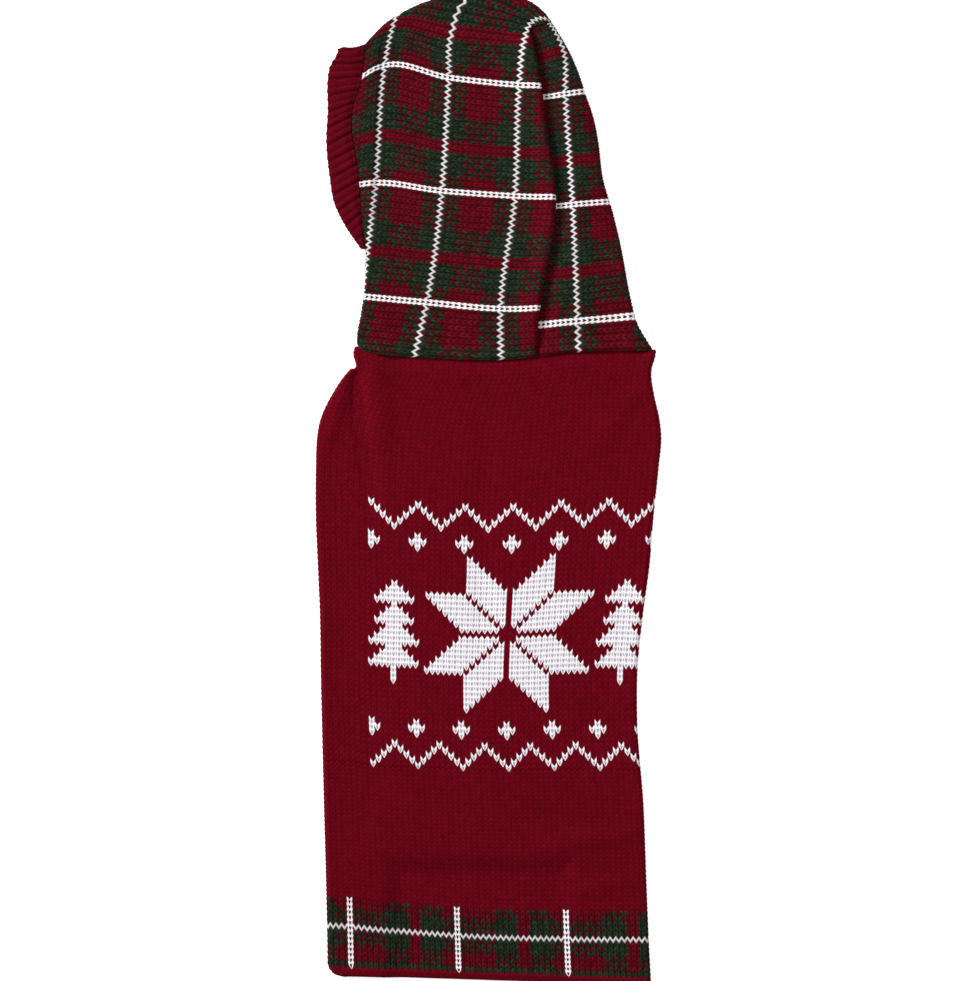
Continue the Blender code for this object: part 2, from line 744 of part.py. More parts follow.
def build_face_rib():
    """Face band: ribs on its upper half, folded over the crown, plain below."""
    stations = RIB_COUNT * RIB_STEPS + 1
    hood_side = along_polyline(face_line(), stations)
    free_side = curve_through(metres(BAND_EDGE_MM), np.linspace(0.0, 1.0, stations))
    towards_free = free_side - hood_side
    towards_free /= np.linalg.norm(towards_free, axis=1, keepdims=True)
    hood_side = hood_side + SEAM_GAP * towards_free
    sections = []
    for station in range(stations):
        ridge = 0.5 - 0.5 * math.cos(2 * math.pi * station / RIB_STEPS)
        near_crown = float(hood_side[-1, 1] - hood_side[station, 1])
        sections.append(band_section(hood_side[station], free_side[station], ridge, near_crown))

    turned = []
    for share in BAND_ACROSS:
        place = hood_side[-1] + (free_side[-1] - hood_side[-1]) * share
        turned.append(fold_points(place, (0.0, 1.0)))
    sections += [[column[step] for column in turned] for step in range(FOLD_STEPS - 1)]

    under_hood = face_line()
    under_free = curve_through(metres(BAND_EDGE_MM), FACE_ROWS)
    towards_free = under_free - under_hood
    towards_free /= np.linalg.norm(towards_free, axis=1, keepdims=True)
    under_hood = under_hood + SEAM_GAP * towards_free
    for near, far in zip(under_hood[::-1], under_free[::-1]):
        section = []
        for share in BAND_ACROSS:
            x, y = near + (far - near) * share
            section.append(((x, y, 0.0), (x, y, WALL)))
        sections.append(section)
    return wall_from_sections(sections).build("face_rib", DEEP_RED)


def start_empty():
    """Remove what the scene holds and make the two collections."""
    for thing in list(bpy.data.objects):
        bpy.data.objects.remove(thing, do_unlink=True)
    for name in ("hooded_dog_sweater", "cutters"):
        bpy.context.scene.collection.children.link(bpy.data.collections.new(name))


def main():
    """Build the sweater's six pieces."""
    start_empty()
    back_sections = [back_section(share) for share in back_row_shares()]
    back = build_back_panel(back_sections)
    belly = build_belly_panel(back_sections)
    for side, seam in (("left", left_seam), ("right", right_seam)):
        centre = (float(seam(LEG_Y)), LEG_Y)
        opening = oval_mesh("leg_opening_" + side, centre, LEG_CUT, -WALL, WALL + LEAST_GAP / 2)
        cutter = cutter_object("leg_opening_" + side, opening)
        cut(back, cutter)
        cut(belly, cutter)
        build_leg_band(side, centre)
    build_hood_panel()
    build_face_rib()


main()
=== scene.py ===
"""Looks of the hooded dog sweater: knitted shells, yarns, floor, light and view.

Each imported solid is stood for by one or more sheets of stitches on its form. A
sheet is a grid with one cell for each stitch: two slanted legs that bulge
outwards, coloured by a chart of yarns. Units are metres, in the solids' frame.
"""

from __future__ import annotations

import logging
import math
from dataclasses import dataclass, field
from enum import IntEnum
from typing import Any, Callable, Sequence

import bpy
import numpy as np
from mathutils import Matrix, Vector

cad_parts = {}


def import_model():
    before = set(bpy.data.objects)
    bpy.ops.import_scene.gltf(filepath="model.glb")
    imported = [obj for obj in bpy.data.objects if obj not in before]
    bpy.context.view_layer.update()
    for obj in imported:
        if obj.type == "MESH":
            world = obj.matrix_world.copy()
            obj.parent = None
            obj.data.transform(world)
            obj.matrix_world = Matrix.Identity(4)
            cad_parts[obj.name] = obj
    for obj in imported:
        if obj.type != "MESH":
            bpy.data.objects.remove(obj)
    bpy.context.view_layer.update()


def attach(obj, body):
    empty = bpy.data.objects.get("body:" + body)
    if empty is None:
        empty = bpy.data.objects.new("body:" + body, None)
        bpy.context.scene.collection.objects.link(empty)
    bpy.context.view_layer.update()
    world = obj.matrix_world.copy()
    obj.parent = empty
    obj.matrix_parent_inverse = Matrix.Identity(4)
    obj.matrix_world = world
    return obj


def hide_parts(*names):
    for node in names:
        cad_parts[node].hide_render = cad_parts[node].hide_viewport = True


log = logging.getLogger("dog_sweater")

MM = 0.001
BODY = "root"
FINELY = np.linspace(0.0, 1.0, 600)        # shares that divide a curve finely
SIDES = (-1, 1)                            # left and right
TINY = 1e-9                                # no distance to speak of
PURE_WHITE = (1.0, 1.0, 1.0, 1.0)

Socket = bpy.types.NodeSocket
Colour = tuple[float, float, float]
Faces = list[tuple[np.ndarray, np.ndarray, bool]]     # corners, yarns, smooth


class Yarn(IntEnum):
    """Yarns of the sweater, in the order of every piece's material slots."""

    RED = 0
    PLAID_RED = 1
    MIXED_RED = 2
    GREEN = 3
    WHITE = 4
    WHITE_COURSE = 5
    RIB_RED = 6
    WHITE_MOTIF = 7


# --------------------------------------------------------------------------
# Curves
# --------------------------------------------------------------------------

def metres(rows: Sequence[tuple[float, ...]]) -> np.ndarray:
    """Turn rows in millimetres into an array in metres."""
    return np.array(rows, dtype=float) * MM


def table(*rows: tuple[float, ...]) -> Any:
    """Dataclass field that holds rows of millimetres as an array in metres."""
    return field(default_factory=lambda: metres(rows))


def ease(share: np.ndarray | float) -> np.ndarray:
    """Smooth step from 0 to 1 as the share runs from 0 to 1."""
    share = np.clip(share, 0.0, 1.0)
    return share * share * (3.0 - 2.0 * share)


def late(share: np.ndarray, start: float) -> np.ndarray:
    """Smooth step that is 0 up to the start and 1 at a share of 1."""
    return ease((share - start) / (1.0 - start))


def swell(distance: np.ndarray, width: float) -> np.ndarray:
    """Soft bump: 1 at no distance, falling off over the width."""
    return np.exp(-(distance / width) ** 2)


def arch(share: np.ndarray) -> np.ndarray:
    """Half wave: 0 at shares of 0 and 1, and up to 1 between them."""
    return np.sin(math.pi * np.clip(share, 0.0, 1.0))


def wave(turns: np.ndarray) -> np.ndarray:
    """Wave that is 0 at whole turns and 1 halfway between them."""
    return 0.5 - 0.5 * np.cos(2 * math.pi * turns)


def unit(vectors: np.ndarray) -> np.ndarray:
    """Vectors scaled to a length of 1."""
    return vectors / np.linalg.norm(vectors, axis=-1, keepdims=True)


def curve_weights(at: np.ndarray, knots: np.ndarray) -> np.ndarray:
    """Weight of each knot's value in a cubic curve through the knots.

    Args:
        at: Places to read the curve at, of any shape.
        knots: Rising places of the values.

    Returns:
        The weights, with one more axis than `at`, as long as the knots.
    """
    at = np.asarray(at, dtype=float)
    values = np.eye(len(knots))
    slopes = np.gradient(values, knots, axis=0)
    step = np.clip(np.searchsorted(knots, at, side="right") - 1, 0, len(knots) - 2)
    width = (knots[step + 1] - knots[step])[..., None]
    share = np.clip((at - knots[step])[..., None] / width, 0.0, 1.0)
    start_slope = share * (1 - share) ** 2 * width * slopes[step]
    end_slope = share ** 2 * (share - 1) * width * slopes[step + 1]
    start = (1 + 2 * share) * (1 - share) ** 2 * values[step]
    end = share ** 2 * (3 - 2 * share) * values[step + 1]
    return start + end + start_slope + end_slope


def smooth_between(at: np.ndarray, knots: np.ndarray, values: np.ndarray) -> np.ndarray:
    """Cubic curve through (knots, values), read at `at`."""
    return curve_weights(at, knots) @ values


def run_of(points: np.ndarray) -> np.ndarray:
    """Length walked along a polyline up to each of its points."""
    steps = np.linalg.norm(np.diff(points, axis=0), axis=1)
    return np.concatenate([[0.0], np.cumsum(steps)])


def on_path(lengths: np.ndarray, run: np.ndarray, path: np.ndarray) -> np.ndarray:
    """Places at these lengths along a polyline whose points lie at `run`."""
    return np.stack([np.interp(lengths, run, path[:, axis]) for axis in range(2)], axis=-1)


def even_curve(points: np.ndarray) -> np.ndarray:
    """Divide a smooth curve through points finely and evenly.

    Args:
        points: Points of the curve, (n, 2).

    Returns:
        Places on the curve, one for each share in `FINELY`.
    """
    knots = run_of(points)
    path = smooth_between(FINELY * knots[-1], knots, points)
    run = run_of(path)
    return on_path(FINELY * run[-1], run, path)


def left_normals(points: np.ndarray) -> np.ndarray:
    """Unit normals to the left of a curve's direction of travel."""
    along = unit(np.gradient(points, axis=0))
    return np.stack([-along[:, 1], along[:, 0]], axis=1)


def corner_inset(distance: np.ndarray, radius: float) -> np.ndarray:
    """How far a rounded corner cuts in, this far above the edge that it ends."""
    gap = radius - np.clip(distance, 0.0, radius)
    return radius - np.sqrt(radius ** 2 - gap ** 2)


def crease_height(x: np.ndarray, y: np.ndarray, creases: np.ndarray) -> np.ndarray:
    """Sum of soft ridges and troughs.

    Args:
        x: Places across.
        y: Places along.
        creases: Rows of start x and y, end x and y, half width and height.

    Returns:
        Height that the creases add at each place.
    """
    total = np.zeros_like(x)
    for start_x, start_y, end_x, end_y, half_width, height in creases:
        run_x, run_y = end_x - start_x, end_y - start_y
        length = math.hypot(run_x, run_y)
        along = ((x - start_x) * run_x + (y - start_y) * run_y) / length
        across = ((x - start_x) * run_y - (y - start_y) * run_x) / length
        past_end = np.maximum(np.maximum(-along, along - length), 0.0)
        total += height * swell(across, half_width) * swell(past_end, 2 * half_width)
    return total


@dataclass(frozen=True)
class FoldLine:
    """Line in plan at which a flat layer starts to turn round a fold.

    Args:
        points: Finely divided places on the line.
        outward: Unit directions out of the fold, one for each point.
        least_cosine: Least cosine of the angle from square to outward.
        rounds: How often a place outside is followed back to the line.
        batch: Most places that are compared with the line at once.
    """

    points: np.ndarray
    outward: np.ndarray
    least_cosine: float = 0.6
    rounds: int = 3
    batch: int = 4096

    def nearest(self, place: np.ndarray) -> np.ndarray:
        """Find the line's nearest point to each place.

        Args:
            place: Places in plan, (n, 2).

        Returns:
            Number of the nearest point, for each place.
        """
        numbers = []
        for some in np.array_split(place, len(place) // self.batch + 1):
            offsets = some[:, None] - self.points
            numbers.append(np.argmin((offsets ** 2).sum(axis=2), axis=1))
        return np.concatenate(numbers)

    def past(self, place: np.ndarray) -> tuple[np.ndarray, np.ndarray]:
        """How far places lie outside the line.

        Args:
            place: Places in plan, (n, 2).

        Returns:
            Signed distances along the outward direction, and that direction.
        """
        square = left_normals(self.points)
        square = square * np.sign((square * self.outward).sum(axis=1, keepdims=True))
        cosine = (square * self.outward).sum(axis=1, keepdims=True)
        measure = square / np.maximum(cosine, self.least_cosine)
        near = self.nearest(place)
        distance = ((place - self.points[near]) * measure[near]).sum(axis=1)
        outside = distance > 0
        for _ in range(self.rounds):
            start = place[outside] - self.outward[near[outside]] * distance[outside][:, None]
            near[outside] = self.nearest(start)
            distance = ((place - self.points[near]) * measure[near]).sum(axis=1)
        return distance, self.outward[near]


# --------------------------------------------------------------------------
# Finishes
# --------------------------------------------------------------------------

@dataclass(frozen=True)
class ShaderNet:
    """Shader nodes of one material.

    Args:
        tree: The material's node tree.
        mix_colours: Where a mix node keeps its two colours among its inputs.
        mix_result: Where it keeps the mixed colour among its outputs.
    """

    tree: bpy.types.NodeTree
    mix_colours: tuple[int, int] = (6, 7)
    mix_result: int = 2

    def put(self, value: Any, socket: Socket) -> None:
        """Link a socket to an input, or set the input to a value.

        Args:
            value: A socket, a number, a colour, or None to leave the input.
            socket: The input.
        """
        if isinstance(value, Socket):
            self.tree.links.new(value, socket)
        elif value is not None:
            socket.default_value = value

    def node(self, kind: str, *values: Any, **settings: str) -> bpy.types.Node:
        """Add a node.

        Args:
            kind: Kind of the shader node.
            values: What goes into its first inputs, in their order.
            settings: Its properties.

        Returns:
            The node.
        """
        added = self.tree.nodes.new("ShaderNode" + kind)
        for name, setting in settings.items():
            setattr(added, name, setting)
        for socket, value in zip(added.inputs, values):
            self.put(value, socket)
        return added

    def fill(self, node: bpy.types.Node, values: dict[str, Any]) -> None:
        """Put values into a node's inputs, by their names."""
        for name, value in values.items():
            self.put(value, node.inputs[name])

    def maths(self, operation: str, *values: Any) -> Socket:
        """Work with up to three numbers or sockets."""
        return self.node("Math", *values, operation=operation).outputs[0]

    def noise(self, vector: Socket, scale: float, detail: float) -> Socket:
        """Cloudy noise at the vector."""
        return self.node("TexNoise", vector, None, scale, detail).outputs[0]

    def rise(self, value: Socket, start: float, end: float) -> Socket:
        """Smooth step from 0 at the start to 1 at the end."""
        return self.node("MapRange", value, start, end, interpolation_type="SMOOTHSTEP").outputs[0]

    def grid(self, wale: Socket, level: Socket, steps: tuple[float, float]) -> Socket:
        """Stitch coordinates with so many steps to a wale and to a course."""
        scaled = [self.maths("MULTIPLY", at, step) for at, step in zip((wale, level), steps)]
        return self.node("CombineXYZ", *scaled).outputs[0]

    def mixed(self, share: Socket, first: Socket | Colour, second: Socket | Colour) -> Socket:
        """Mix two colours.

        Args:
            share: Share of the second colour.
            first: Colour at a share of 0.
            second: Colour at a share of 1.

        Returns:
            The mixed colour.
        """
        added = self.node("Mix", share, data_type="RGBA")
        for number, value in zip(self.mix_colours, (first, second)):
            self.put(value if isinstance(value, Socket) else (*value, 1.0), added.inputs[number])
        return added.outputs[self.mix_result]


@dataclass(frozen=True)
class StitchGaps:
    """Where the gaps of a stitch start and are deepest, measured from its middle.

    Across, 1 is half a wale. Along, 1 is a course.
    """

    corner: float = 0.8           # how much the outer corners are rounded
    wale: tuple[float, float] = (0.92, 1.24)
    legs: tuple[float, float] = (-0.34, 0.10)
    eye_half: tuple[float, float] = (0.54, 0.42)     # half its width and height
    eye: tuple[float, float] = (1.0, 0.25)           # of that, squared


@dataclass(frozen=True)
class YarnFinish:
    """Brushed, slightly hairy knitting yarn of one colour."""

    name: str
    colour: Colour
    shaded_gap_colour: Colour                # what shows between the stitches: the yarn behind, darkened as painted shade
    # Sheen tint of the shader, also mixed into the legs' colour as lighter hairs, a painted sheen
    sheen_colour: Colour
    # How deep the gaps are, in the bump and in the painted shade of the gap colour
    wale_gap: float = 0.6         # how clearly wales part
    leg_gap: float = 0.3          # how clearly the two legs of a stitch part
    eye: float = 0.3              # how dark the hole between them is
    course_gap: float = 0.4       # how clearly one stitch parts from the next
    gap_width: float = 0.20       # of that, in courses
    uneven: float = 0.24          # tone from stitch to stitch
    streaky: float = 0.5          # tone along the fibres
    cloudy: float = 0.18          # tone from one part of the cloth to another
    cloud_scale: float = 32.0     # clouds to a metre
    painted_sheen_share: float = 0.20
    fibre_grid: tuple[float, float] = (9.0, 3.0)     # to a wale and a course
    fibre_scale: float = 1.6
    fleck: Colour = (0.0, 0.0, 0.0)                  # of the other yarn, behind
    fleck_share: float = 0.0
    fleck_grid: tuple[float, float] = (3.4, 2.6)
    fleck_edge: tuple[float, float] = (0.51, 0.60)
    bump_strength: float = 0.5
    bump_height: float = 0.40 * MM
    bump_fibres: float = 0.4      # share of the fibres in it
    roughness: float = 0.90
    specular: float = 0.04
    sheen: float = 0.12
    sheen_roughness: float = 0.45

    def yarn_shows(self, net: ShaderNet, wale: Socket, level: Socket, gaps: StitchGaps) -> Socket:
        """How much of the yarn shows, from 0 in a gap to 1 on a leg.

        Args:
            net: Nodes of the material.
            wale: Place across, in wales.
            level: Place along, in courses.
            gaps: Where the gaps of a stitch lie.

        Returns:
            The share that shows.
        """
        # `aside` is 0 in the middle of a stitch and 1 between two wales
        aside = net.maths("ABSOLUTE", net.maths("MULTIPLY_ADD", net.maths("FRACT", wale), 2.0, -1.0))
        off_middle = net.maths("ABSOLUTE", net.maths("SUBTRACT", net.maths("FRACT", level), 0.5))
        rounded = net.maths("MULTIPLY_ADD", off_middle, gaps.corner, aside)
        slanted = net.maths("SUBTRACT", off_middle, aside)
        eye_across, eye_along = (
            net.maths("POWER", net.maths("DIVIDE", offset, half), 2.0)
            for offset, half in zip((aside, off_middle), gaps.eye_half))
        shows = 1.0
        for measure, (start, end), depth in (
                (rounded, gaps.wale, self.wale_gap),
                (slanted, gaps.legs, self.leg_gap),
                (net.maths("ADD", eye_across, eye_along), gaps.eye, self.eye),
                (off_middle, (0.5 - self.gap_width, 0.5), self.course_gap)):
            gap = net.maths("MULTIPLY", net.rise(measure, start, end), depth)
            shows = net.maths("MULTIPLY", shows, net.maths("SUBTRACT", 1.0, gap))
        return shows

    def tone(self, net: ShaderNet, wale: Socket, level: Socket, fibres: Socket) -> Socket:
        """Light and dark of the yarn, round a tone of 1.

        Args:
            net: Nodes of the material.
            wale: Place across, in wales.
            level: Place along, in courses.
            fibres: Noise along the fibres.

        Returns:
            The tone.
        """
        leg = net.maths("FLOOR", net.maths("MULTIPLY", wale, 2.0))
        cell = net.node("CombineXYZ", leg, net.maths("FLOOR", level)).outputs[0]
        chance = net.node("TexWhiteNoise", cell, noise_dimensions="3D").outputs["Value"]
        clouds = net.noise(net.node("TexCoord").outputs["Object"], self.cloud_scale, 2.0)
        tone = 1.0
        for texture, amount in ((chance, self.uneven), (fibres, self.streaky), (clouds, self.cloudy)):
            varied = net.maths("MULTIPLY_ADD", texture, amount, 1.0 - amount / 2)
            tone = net.maths("MULTIPLY", tone, varied)
        return tone

    def material(self) -> bpy.types.Material:
        """Make the material from the sheet's `stitch` coordinates.

        Returns:
            The material.
        """
        made = bpy.data.materials.new(self.name)
        made.use_nodes = True
        net = ShaderNet(made.node_tree)
        stitch = net.node("Attribute", attribute_name="stitch").outputs["Vector"]
        wale, level, openness = net.node("SeparateXYZ", stitch).outputs
        shows = self.yarn_shows(net, wale, level, StitchGaps())
        fibres = net.noise(net.grid(wale, level, self.fibre_grid), self.fibre_scale, 3.0)

        # Painted sheen: lighter hairs on the legs, following the fibre noise
        painted_sheen = net.maths("MULTIPLY", net.maths("MULTIPLY", fibres, shows), self.painted_sheen_share)
        yarn = net.mixed(painted_sheen, self.colour, self.sheen_colour)
        if self.fleck_share:
            specks = net.rise(net.noise(net.grid(wale, level, self.fleck_grid), 1.0, 1.0), *self.fleck_edge)
            yarn = net.mixed(net.maths("MULTIPLY", specks, self.fleck_share), yarn, self.fleck)
        # Painted shade: gaps, rib grooves, stitches past the sheet's edge and the inner side are mixed
        # towards the shaded gap colour
        colour = net.mixed(net.maths("MULTIPLY", shows, openness), self.shaded_gap_colour, yarn)
        toned = net.node("VectorMath", colour, operation="SCALE")
        net.fill(toned, {"Scale": self.tone(net, wale, level, fibres)})

        bump = net.node("Bump")
        net.fill(bump, {
            "Strength": self.bump_strength,
            "Distance": self.bump_height,
            "Height": net.maths("MULTIPLY_ADD", fibres, self.bump_fibres, shows),
        })
        net.fill(made.node_tree.nodes["Principled BSDF"], {
            "Base Color": toned.outputs[0],
            "Normal": bump.outputs[0],
            "Roughness": self.roughness,
            "Specular IOR Level": self.specular,
            "Sheen Weight": self.sheen,
            "Sheen Roughness": self.sheen_roughness,
            "Sheen Tint": (*self.sheen_colour, 1.0),
        })
        return made


FINISHES = {
    Yarn.RED: YarnFinish("red_yarn", (0.107, 0.0003, 0.0047), (0.064, 0.0002, 0.0025),
                         (0.36, 0.008, 0.036), wale_gap=0.42, eye=0.18,
                         painted_sheen_share=0.24, sheen=0.22),
    Yarn.PLAID_RED: YarnFinish("plaid_red_yarn", (0.126, 0.0007, 0.0073), (0.018, 0.0022, 0.0022),
                               (0.30, 0.014, 0.036), wale_gap=0.75, leg_gap=0.60,
                               course_gap=0.5, uneven=0.40,
                               fleck=(0.060, 0.0020, 0.0050), fleck_share=0.6),
    Yarn.MIXED_RED: YarnFinish("mixed_red_yarn", (0.092, 0.0010, 0.0058), (0.014, 0.0024, 0.0022),
                               (0.30, 0.014, 0.036), wale_gap=0.80, leg_gap=0.70,
                               course_gap=0.60, uneven=0.50,
                               fleck=(0.0120, 0.0180, 0.0095), fleck_share=0.80),
    Yarn.GREEN: YarnFinish("green_yarn", (0.0112, 0.0290, 0.0142), (0.0080, 0.0034, 0.0030),
                           (0.060, 0.090, 0.050), wale_gap=0.70, leg_gap=0.55,
                           course_gap=0.50, uneven=0.65,
                           fleck=(0.0080, 0.0085, 0.0060), fleck_share=0.65),
    Yarn.WHITE: YarnFinish("white_yarn", (0.88, 0.82, 0.84), (0.050, 0.008, 0.013),
                           (0.95, 0.92, 0.93), wale_gap=0.85, leg_gap=0.0, eye=1.0,
                           course_gap=0.12, uneven=0.10, cloudy=0.04),
    Yarn.WHITE_COURSE: YarnFinish("white_course_yarn", (0.68, 0.63, 0.64), (0.016, 0.008, 0.006),
                                  (0.95, 0.92, 0.93), wale_gap=0.1, leg_gap=0.0, eye=0.0,
                                  course_gap=1.0, gap_width=0.47, uneven=0.20, cloudy=0.04),
    Yarn.WHITE_MOTIF: YarnFinish("white_motif_yarn", (0.85, 0.83, 0.87), (0.36, 0.30, 0.34),
                                 (0.95, 0.93, 0.96), wale_gap=0.75, leg_gap=0.0, eye=0.9,
                                 course_gap=0.12, uneven=0.10, cloudy=0.04),
    Yarn.RIB_RED: YarnFinish("deep_red_yarn", (0.112, 0.0006, 0.0066), (0.036, 0.0003, 0.0020),
                             (0.32, 0.012, 0.042), wale_gap=0.3, eye=0.2, course_gap=0.2,
                             sheen=0.22),
}


# --------------------------------------------------------------------------
# Charts
# --------------------------------------------------------------------------

@dataclass(frozen=True)
class Plaid:
    """Tartan check charted over wales and courses.

    A stitch is white on a white wale or course, plain where both agree, and
    otherwise takes turns between the two yarns.

    Args:
        wale_order: Letters of the wales, which repeat: W is white, R red, G
            green, and N stays red through green courses.
        course_order: Letters of the courses: S stays green through red wales.
        first_wale: Wale that has the first letter.
        first_course: Course that has the first letter.
    """

    wale_order: str
    course_order: str
    first_wale: int
    first_course: int = 0

    def yarns(self, courses: np.ndarray, wales: np.ndarray) -> np.ndarray:
        """Yarn of each stitch.

        Args:
            courses: Numbers of the courses, as a column.
            wales: Numbers of the wales, as a row.

        Returns:
            Array of yarn numbers, courses by wales.
        """
        across, along = (
            np.array(list(order))[(numbers - first) % len(order)]
            for order, numbers, first in ((self.wale_order, wales, self.first_wale),
                                          (self.course_order, courses, self.first_course)))
        mixed = (across == "G") != (along == "G")
        turn = (courses + wales) % 2 == 0
        green = np.where(mixed, turn, across == "G") & (across != "N") | (along == "S")
        yarns = np.where(mixed & (across != "N"), Yarn.MIXED_RED, Yarn.PLAID_RED)
        yarns = np.where(green, Yarn.GREEN, yarns)
        yarns = np.where(along == "W", Yarn.WHITE_COURSE, yarns)
        return np.where(across == "W", Yarn.WHITE, yarns)


@dataclass(frozen=True)
class BorderPattern:
    """White star, fir trees, lozenges and zigzags on the body, charted by rule."""

    half_width: int = 24
    rows: int = 50
    repeat: int = 8               # stitches of a zigzag and a lozenge
    lozenge_row: int = 7
    star_centre: int = 24
    star_arm: int = 7
    tree_at: int = 20
    tree_top: int = 15
    tier_rows: int = 4            # of a tree's branches, which widen downwards
    tiers: int = 4
    trunk_rows: int = 3

    def is_white(self, across: np.ndarray, down: np.ndarray) -> np.ndarray:
        """Whether stitches are white.

        Args:
            across: Stitches to the right of the pattern's middle.
            down: Stitches below the pattern's top.

        Returns:
            True for each white stitch.
        """
        zigzag = np.abs((across + self.repeat // 2) % self.repeat - self.repeat // 2)
        border = np.zeros_like(zigzag + down, dtype=bool)
        for from_border in (down, self.rows - 1 - down):
            border |= zigzag == from_border
            border |= zigzag + np.abs(from_border - self.lozenge_row) <= 1

        star_across, star_down = np.abs(across), np.abs(down - self.star_centre)
        near = np.minimum(star_across, star_down)
        beyond = np.maximum(star_across, star_down) - near
        star = (near >= 1) & (near <= self.star_arm) & (beyond >= 1) & (beyond <= self.star_arm)

        below = down - self.tree_top
        aside = np.abs(np.abs(across) - self.tree_at)
        branch_rows = self.tiers * self.tier_rows
        reach = below % self.tier_rows + below // (2 * self.tier_rows)
        branches = (below >= 0) & (below < branch_rows) & (aside <= reach)
        trunk = (below >= branch_rows) & (below < branch_rows + self.trunk_rows) & (aside == 0)
        inside = (np.abs(across) <= self.half_width) & (down >= 0) & (down < self.rows)
        return inside & (border | star | branches | trunk)


# --------------------------------------------------------------------------
# The cloth
# --------------------------------------------------------------------------

@dataclass(frozen=True)
class Spots:
    """Places on a sheet's outer side.

    Args:
        point: Points, (..., 3).
        normal: Unit directions outwards, (..., 3).
        beyond: True where the point was moved to the sheet's edge.
    """

    point: np.ndarray
    normal: np.ndarray
    beyond: np.ndarray


def facing_down(x: np.ndarray, y: np.ndarray, beyond: np.ndarray) -> Spots:
    """Make spots on the ground, on a side that faces down.

    Args:
        x: Places across.
        y: Places along.
        beyond: True where the point was moved to the sheet's edge.

    Returns:
        The spots.
    """
    nought = np.zeros_like(x)
    normal = np.stack([nought, nought, nought - 1.0], axis=-1)
    return Spots(np.stack([x, y, nought], axis=-1), normal, beyond)


@dataclass(frozen=True)
class Cloth:
    """Thickness of the knitted cloth and how its layers lie on each other."""

    wall: float = 2.0 * MM
    seam_gap: float = 0.3 * MM
    fold_radius: float = 3.2 * MM
    layer_gap: float = 1.0 * MM
    least_gap: float = 0.35 * MM
    puff_reach: float = 9.0 * MM
    crease_clear: float = 2.5 * MM

    @property
    def fold_length(self) -> float:
        """Length of the cloth round half a turn."""
        return math.pi * self.fold_radius

    def upper_top(self, near_fold: np.ndarray, support: np.ndarray,
                  creases: np.ndarray) -> np.ndarray:
        """Height of an upper layer's outer side.

        Args:
            near_fold: Distances in from the nearest fold.
            support: Heights of the top of what lies below.
            creases: Heights that creases add.

        Returns:
            Height of the outer side at each place.
        """
        base = support + self.layer_gap * support / self.wall
        at_fold = 2 * self.fold_radius - self.wall
        height = base + (at_fold - base) * np.exp(-near_fold / self.puff_reach)
        height = height + creases * (1.0 - np.exp(-near_fold / self.crease_clear))
        return np.maximum(height, support + self.least_gap * support / self.wall) + self.wall

    def round_fold(self, past: np.ndarray,
                   outward: np.ndarray) -> tuple[np.ndarray, np.ndarray, np.ndarray]:
        """Wrap flat cloth round a fold.

        Args:
            past: Lengths of cloth past the start of the fold.
            outward: Unit directions out of the fold, in plan.

        Returns:
            Offsets in plan from the fold's start, heights, and normals.
        """
        angle = np.clip(past / self.fold_radius, 0.0, math.pi)
        under = np.maximum(past - self.fold_length, 0.0)
        reach = self.fold_radius * np.sin(angle) - under
        height = self.fold_radius * (1.0 + np.cos(angle))
        normal = np.concatenate([outward * np.sin(angle)[..., None], np.cos(angle)[..., None]], axis=-1)
        return outward * reach[..., None], height, normal


CLOTH = Cloth()


